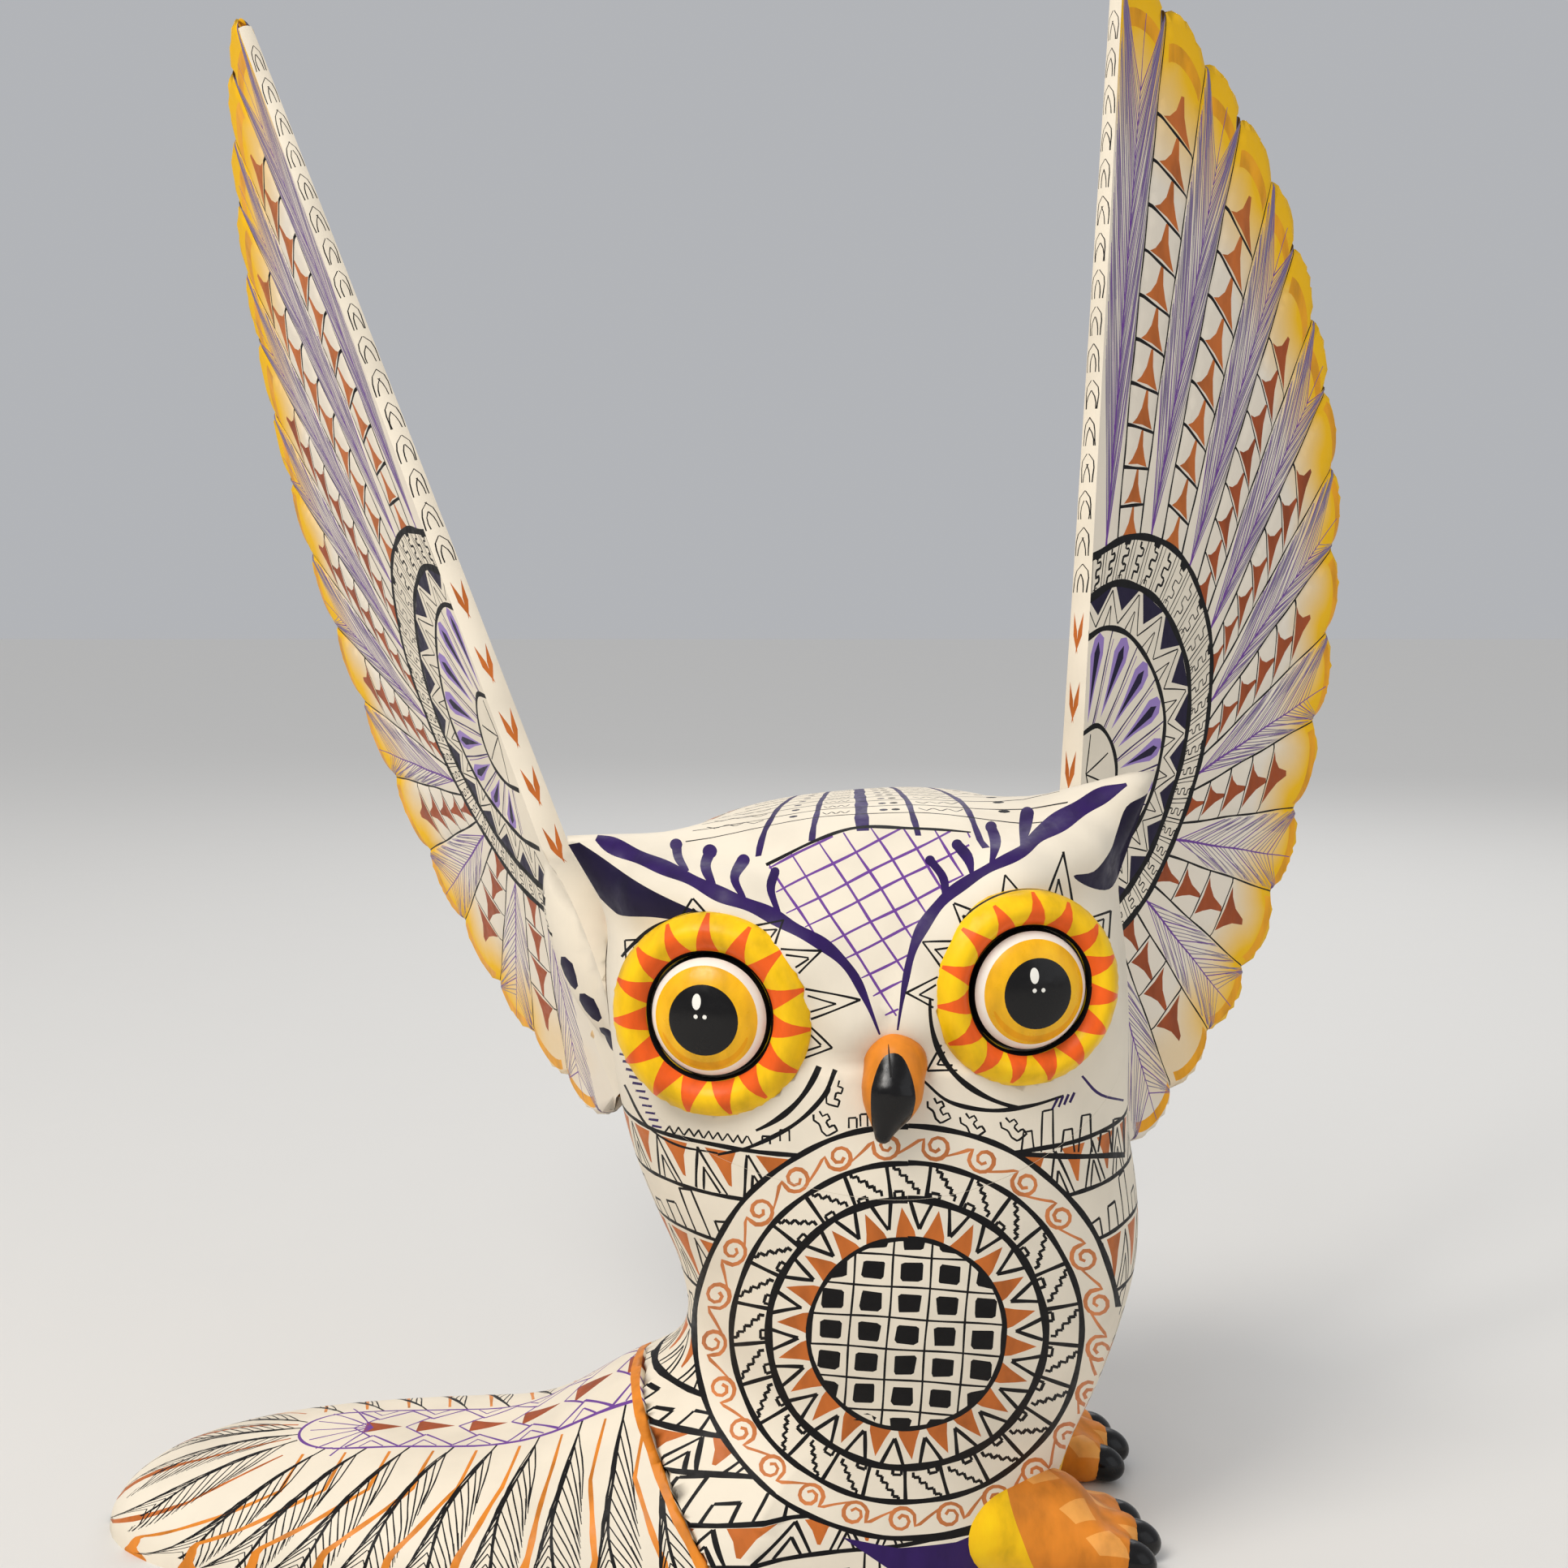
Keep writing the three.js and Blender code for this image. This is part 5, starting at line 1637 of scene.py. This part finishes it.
def disc_surface(side, profile):
    """Wraps a flat disc onto a turned shape. The profile gives radius and height for each flat radius."""
    centre, across, up, look = eye_frame(side)
    stations, radii, heights = np.array(profile, float).T
    step = 0.3

    def turned(away):
        return np.interp(away, stations, radii)[:, None], np.interp(away, stations, heights)[:, None]

    def surface(flat):
        away, unit = np.linalg.norm(flat, axis=1), unit_rows(flat)
        radius, height = turned(away)
        (inner, low), (outer, high) = turned(away - step), turned(away + step)
        out = unit[:, :1] * across + unit[:, 1:] * up
        return centre + out * radius + look * height, unit_rows(look * (outer - inner) - out * (high - low))
    return surface


def make_eye_ring(side):
    """A bulging yellow ring with fifteen orange flames."""
    outer = ring_radius(side) + EYE_RING_PAINT
    inner = PLUG_RADIUS + SEAM_GAP
    dome = [(inner + (outer - inner) * t, inner + (outer - inner) * t,
             1 + EYE_RING_BULGE * math.sin(math.pi * (0.08 + 0.84 * (1 - t)))) for t in PROFILE_SHARES]
    wall = [(outer + 1.2, outer, 0.4), (outer + 9, outer, -9)]
    design = Design()
    design.fill(arc((0, 0), outer + 0.6, 0, 357), "yellow")
    for i in range(15):
        turn = 90 + i * 24 + hand.uniform(-1.5, 1.5)
        half = 10.6 + hand.uniform(-0.8, 0.8)
        base = arc((0, 0), inner + 0.7, turn - half, turn + half)
        tip = arc((0, 0), outer - 0.3 + hand.uniform(-0.8, 0.4), turn - 1.0, turn + 1.0)
        design.fill(np.vstack([base, tip[::-1]]), "orange")
    design.stroke(arc((0, 0), inner + 0.4, 0, 360), 0.8, "ink", step=1)
    design.stroke(arc((0, 0), outer + 1.6, 0, 360), 1.1, "ink", step=1.5)
    ring = wrap("eye_ring_" + side + "_painted", design.marks, arc((0, 0), outer + 9, 0, 359),
                disc_surface(side, dome + wall), 1.5, "yellow", holes=[arc((0, 0), inner, 0, 357, 0.7)])
    ride_on(ring, BODY, "eye_ring_paint", "eye_ring_" + side)


def make_eyeball(side):
    """A domed plug with a white rim, a golden iris and a black pupil with three painted highlights, white spots
    that stand for glints.
    """
    design = Design()
    design.fill(arc((0, 0), 13.5, 0, 357), "white")
    design.fill(arc((0, 0), 12.0, 0, 357), "iris")
    design.stroke(arc((0, 0), 10.6, 200, 340), 1.6, "gold", ends=(0.2, 0.2))
    design.fill(arc((0, 0), 8.1, 0, 357), "claw")
    # Painted highlights: a white oval and two white dots on the pupil stand for glints of light.
    design.fill(oval(-1.3, 4.3, 1.05, 1.8, 0.4), "white")
    for x in (-1.4, 0.7):
        design.fill(oval(x, 1.0, 0.5, 0.5, 0.6), "white")
    bulge = [(PLUG_RADIUS * t, PLUG_RADIUS * t, 1.5 + PLUG_BULGE * math.sqrt(1 - t * t))
             for t in PROFILE_SHARES]
    wall = [(PLUG_RADIUS + 6, PLUG_RADIUS, -6)]
    ball = wrap("eyeball_" + side + "_painted", design.marks, arc((0, 0), PLUG_RADIUS + 6, 0, 359),
                disc_surface(side, bulge + wall), 1.2, "ink")
    ride_on(ball, BODY, "eyeball_gloss", "eyeball_" + side)


def azimuthal(centre, pole, field, scale, reach=60.0, step=1.0):
    """A surface seen from inside, flattened about a pole direction."""
    centre, pole = np.array(centre, float), np.array(pole, float)
    upright = abs(pole[2]) < 0.9
    across = np.cross(pole, [0, 0, 1.0]) if upright else np.array([1.0, 0, 0])
    across /= np.linalg.norm(across)
    up = np.cross(across, pole) * (1 if upright else -1)
    return skin_of(polar_rays(centre, pole, across, up, scale), field, reach=reach, step=step)


BEAK_TOP = (-1.0, 137.0)
BEAK_TIP_Z = 115.5
BEAK_HALF_WIDTH = 8.6
BEAK_SEAT_Y = -50.0
BEAK_REACH = 15.5


def beak_field(p):
    middle_z = (BEAK_TOP[1] + BEAK_TIP_Z) / 2
    top = (BEAK_TOP[0], BEAK_SEAT_Y - 6, BEAK_TOP[1] - 5)
    bridge = (BEAK_TOP[0] - 1, BEAK_SEAT_Y - BEAK_REACH + 5, middle_z)
    tip = (BEAK_TOP[0] - 3, BEAK_SEAT_Y - BEAK_REACH + 3, BEAK_TIP_Z + 2)
    upper = rod_distance(p, top, bridge, BEAK_HALF_WIDTH - 1.4, BEAK_HALF_WIDTH - 3)
    lower = rod_distance(p, bridge, tip, BEAK_HALF_WIDTH - 3, 2)
    return blend(upper, lower, 5)


def make_beak():
    centre = (BEAK_TOP[0] - 1, BEAK_SEAT_Y - BEAK_REACH + 6, (BEAK_TOP[1] + BEAK_TIP_Z) / 2)
    surface = azimuthal(centre, (0, -1, 0), beak_field, 10.0)
    design = Design()
    black = curve([(-3.6, -27), (-6.0, -16), (-7.2, -4), (-6.6, 6), (-3, 12.4), (3.2, 12.6), (6.6, 6),
                   (7.2, -6), (5.2, -18), (2.6, -28)], 5)
    design.fill(black, "claw")
    design.stroke([(0.6, 7), (1.0, 15)], 0.7, "ink", ends=(1, 0.3))
    region = arc((0, 0), 10 * math.pi * 0.985, 0, 359, 1.0)
    beak = wrap("beak_painted", design.marks, region, surface, 1.1, "amber")
    ride_on(beak, BODY, "beak_gloss", "beak")


FEET = {
    "front": {"ankle": (24, -24), "toe": (56, -23)},
    "back": {"ankle": (26, 33), "toe": (57, 33)},
}
ANKLE_HEIGHT = 13.0
TOE_SPREAD = 10.5
TOE_RADIUS = 6.0


def foot_shapes(name):
    """The foot's field without claws, and each claw's start and end."""
    ankle, toe = FEET[name]["ankle"], FEET[name]["toe"]
    heel = (*ankle, ANKLE_HEIGHT)
    shin = (ankle[0] + 14, ankle[1], ANKLE_HEIGHT - 2)
    toes = []
    for place in (-1, 0, 1):
        reach = toe[0] - abs(place) * 3
        toes.append(((ankle[0] + 14, toe[1] + place * TOE_SPREAD * 0.6, 8),
                     (reach, toe[1] + place * TOE_SPREAD, TOE_RADIUS),
                     (reach + 7, toe[1] + place * TOE_SPREAD * 1.1, 3.1)))

    def field(p):
        value = rod_distance(p, heel, shin, 15, 12)
        for knuckle, end, _ in toes:
            value = blend(value, rod_distance(p, knuckle, end, TOE_RADIUS + 2, TOE_RADIUS), 5)
        return np.maximum(value, -p[:, 2])
    return field, [(end, claw) for _, end, claw in toes]


def make_foot(name):
    field, claws = foot_shapes(name)
    ankle = FEET[name]["ankle"]
    surface = azimuthal((ankle[0] + 16, ankle[1], 5.5), (0, 0, 1), field, 16.0)
    design = Design()
    design.fill([(-46, -34), (-12, -24), (-9, -6), (-13, 8), (-9, 24), (-46, 34)], "yellow")
    design.fill([(-50, -34), (-27, -26), (-22, -10), (-26, 2), (-22, 14), (-28, 28), (-50, 34)], "purple")
    # Lighter peach patches on top of the foot: painted highlights where carved facets would catch the light.
    for x, y, size in ((6, -9, 6), (2, 6, 7), (14, 3, 5), (-4, -2, 5), (12, 14, 5), (13, -15, 5), (24, -3, 5)):
        facet_highlight = [(x - size, y - size * 0.3), (x - size * 0.2, y - size * 0.8), (x + size, y - size * 0.1),
                 (x + size * 0.3, y + size * 0.7)]
        design.fill(facet_highlight, "peach")
    foot = wrap("foot_skin", design.marks, arc((0, 0), 16 * math.pi * 0.97, 0, 359, 1.5), surface, 1.8, "amber")
    parts = [foot, *(make_claw(start, end) for start, end in claws)]
    foot = joined(f"foot_{name}_painted", parts)
    ride_on(foot, BODY, "painted_foot", "foot_" + name)


def make_claw(start, end):
    """A glossy black oval claw over the end of a toe."""
    start, end = np.array(start, float), np.array(end, float)
    middle = start * 0.35 + end * 0.65 + [0, 0, 1.2]
    run = end - start

    def field(p):
        local = p - middle
        along = local @ (run / np.linalg.norm(run))
        rest = np.sqrt(np.maximum((local ** 2).sum(axis=1) - along ** 2, 0))
        size = np.sqrt((along / 6.4) ** 2 + (rest / 4.6) ** 2)
        return np.maximum((size - 1) * 4.6, -p[:, 2])
    surface = azimuthal(middle, (0, 0, 1), field, 5.0, reach=14, step=0.5)
    return wrap("claw", [], arc((0, 0), 5 * math.pi * 0.97, 0, 359, 1.0), surface, 0.9, "claw")


# ---------- bare wood pegs and dowels, which stay CAD nodes ----------

def dress_wood():
    wood = paint_material("wood")
    for name, node in frame["nodes"].items():
        if "peg" in name or "dowel" in name:
            node.data.materials.clear()
            node.data.materials.append(wood)


# ---------- floor, light and camera ----------

def plain(name, colour, roughness):
    n = Nodes(name)
    n.shader.inputs["Base Color"].default_value = colour
    n.join(n.range(n.noise(30), roughness - 0.04, roughness + 0.04), n.shader.inputs["Roughness"])
    return n.material


def make_stage():
    mesh = bpy.data.meshes.new("floor")
    reach = 6.0
    mesh.from_pydata([(-reach, -reach, 0), (reach, -reach, 0), (reach, reach, 0), (-reach, reach, 0)], [],
                     [(0, 1, 2, 3)])
    mesh.materials.append(plain("floor", linear("#dcdad6"), 0.7))
    linked("floor", mesh)
    world = bpy.data.worlds.new("studio")
    world.use_nodes = True
    background = world.node_tree.nodes["Background"]
    background.inputs["Color"].default_value = (0.86, 0.88, 0.92, 1)
    background.inputs["Strength"].default_value = 0.52
    bpy.context.scene.world = world


LAMPS = {                       # place, the height it aims at, size, power and colour
    "key": ((-0.75, -0.75, 1.3), 0.15, 0.6, 12, (1.0, 0.95, 0.88)),
    "fill": ((1.2, -0.8, 0.7), 0.18, 1.2, 2.5, (0.93, 0.96, 1.0)),
    "rim": ((0.3, 1.2, 1.1), 0.2, 1.0, 5, (1, 1, 1)),
}
WINDOW = {"power": 0.75, "spread": 30, "tilt": 38, "turn": -35}


def make_lights():
    for name, (place, aim, size, power, colour) in LAMPS.items():
        light = bpy.data.lights.new(name, "AREA")
        light.size = size
        light.energy = power
        light.color = colour
        lamp = linked(name, light)
        lamp.location = place
        lamp.rotation_euler = (Vector((0, 0, aim)) - Vector(place)).to_track_quat("-Z", "Y").to_euler()
    window = bpy.data.lights.new("window", "SUN")
    window.energy = WINDOW["power"]
    window.angle = math.radians(WINDOW["spread"])
    tilt, turn = math.radians(WINDOW["tilt"]), math.radians(WINDOW["turn"])
    linked("window", window).rotation_euler = (tilt, 0, turn)


def make_camera():
    camera = bpy.data.cameras.new("camera")
    camera.angle = math.radians(40)
    camera.clip_start = 0.01
    viewer = linked("camera", camera)
    viewer.location = PAINTER_EYE * MM
    viewer.rotation_euler = (math.radians(90 - 6), 0, 0)
    bpy.context.scene.camera = viewer
    bpy.context.scene.view_settings.view_transform = "Standard"


placed = figure_marks()
make_torso(placed)
make_head(placed)
make_tail(placed)
for side in WINGS:
    make_eye_ring(side)
    make_eyeball(side)
make_beak()
for name in FEET:
    make_foot(name)
make_wings()
dress_wood()
make_stage()
make_lights()
make_camera()
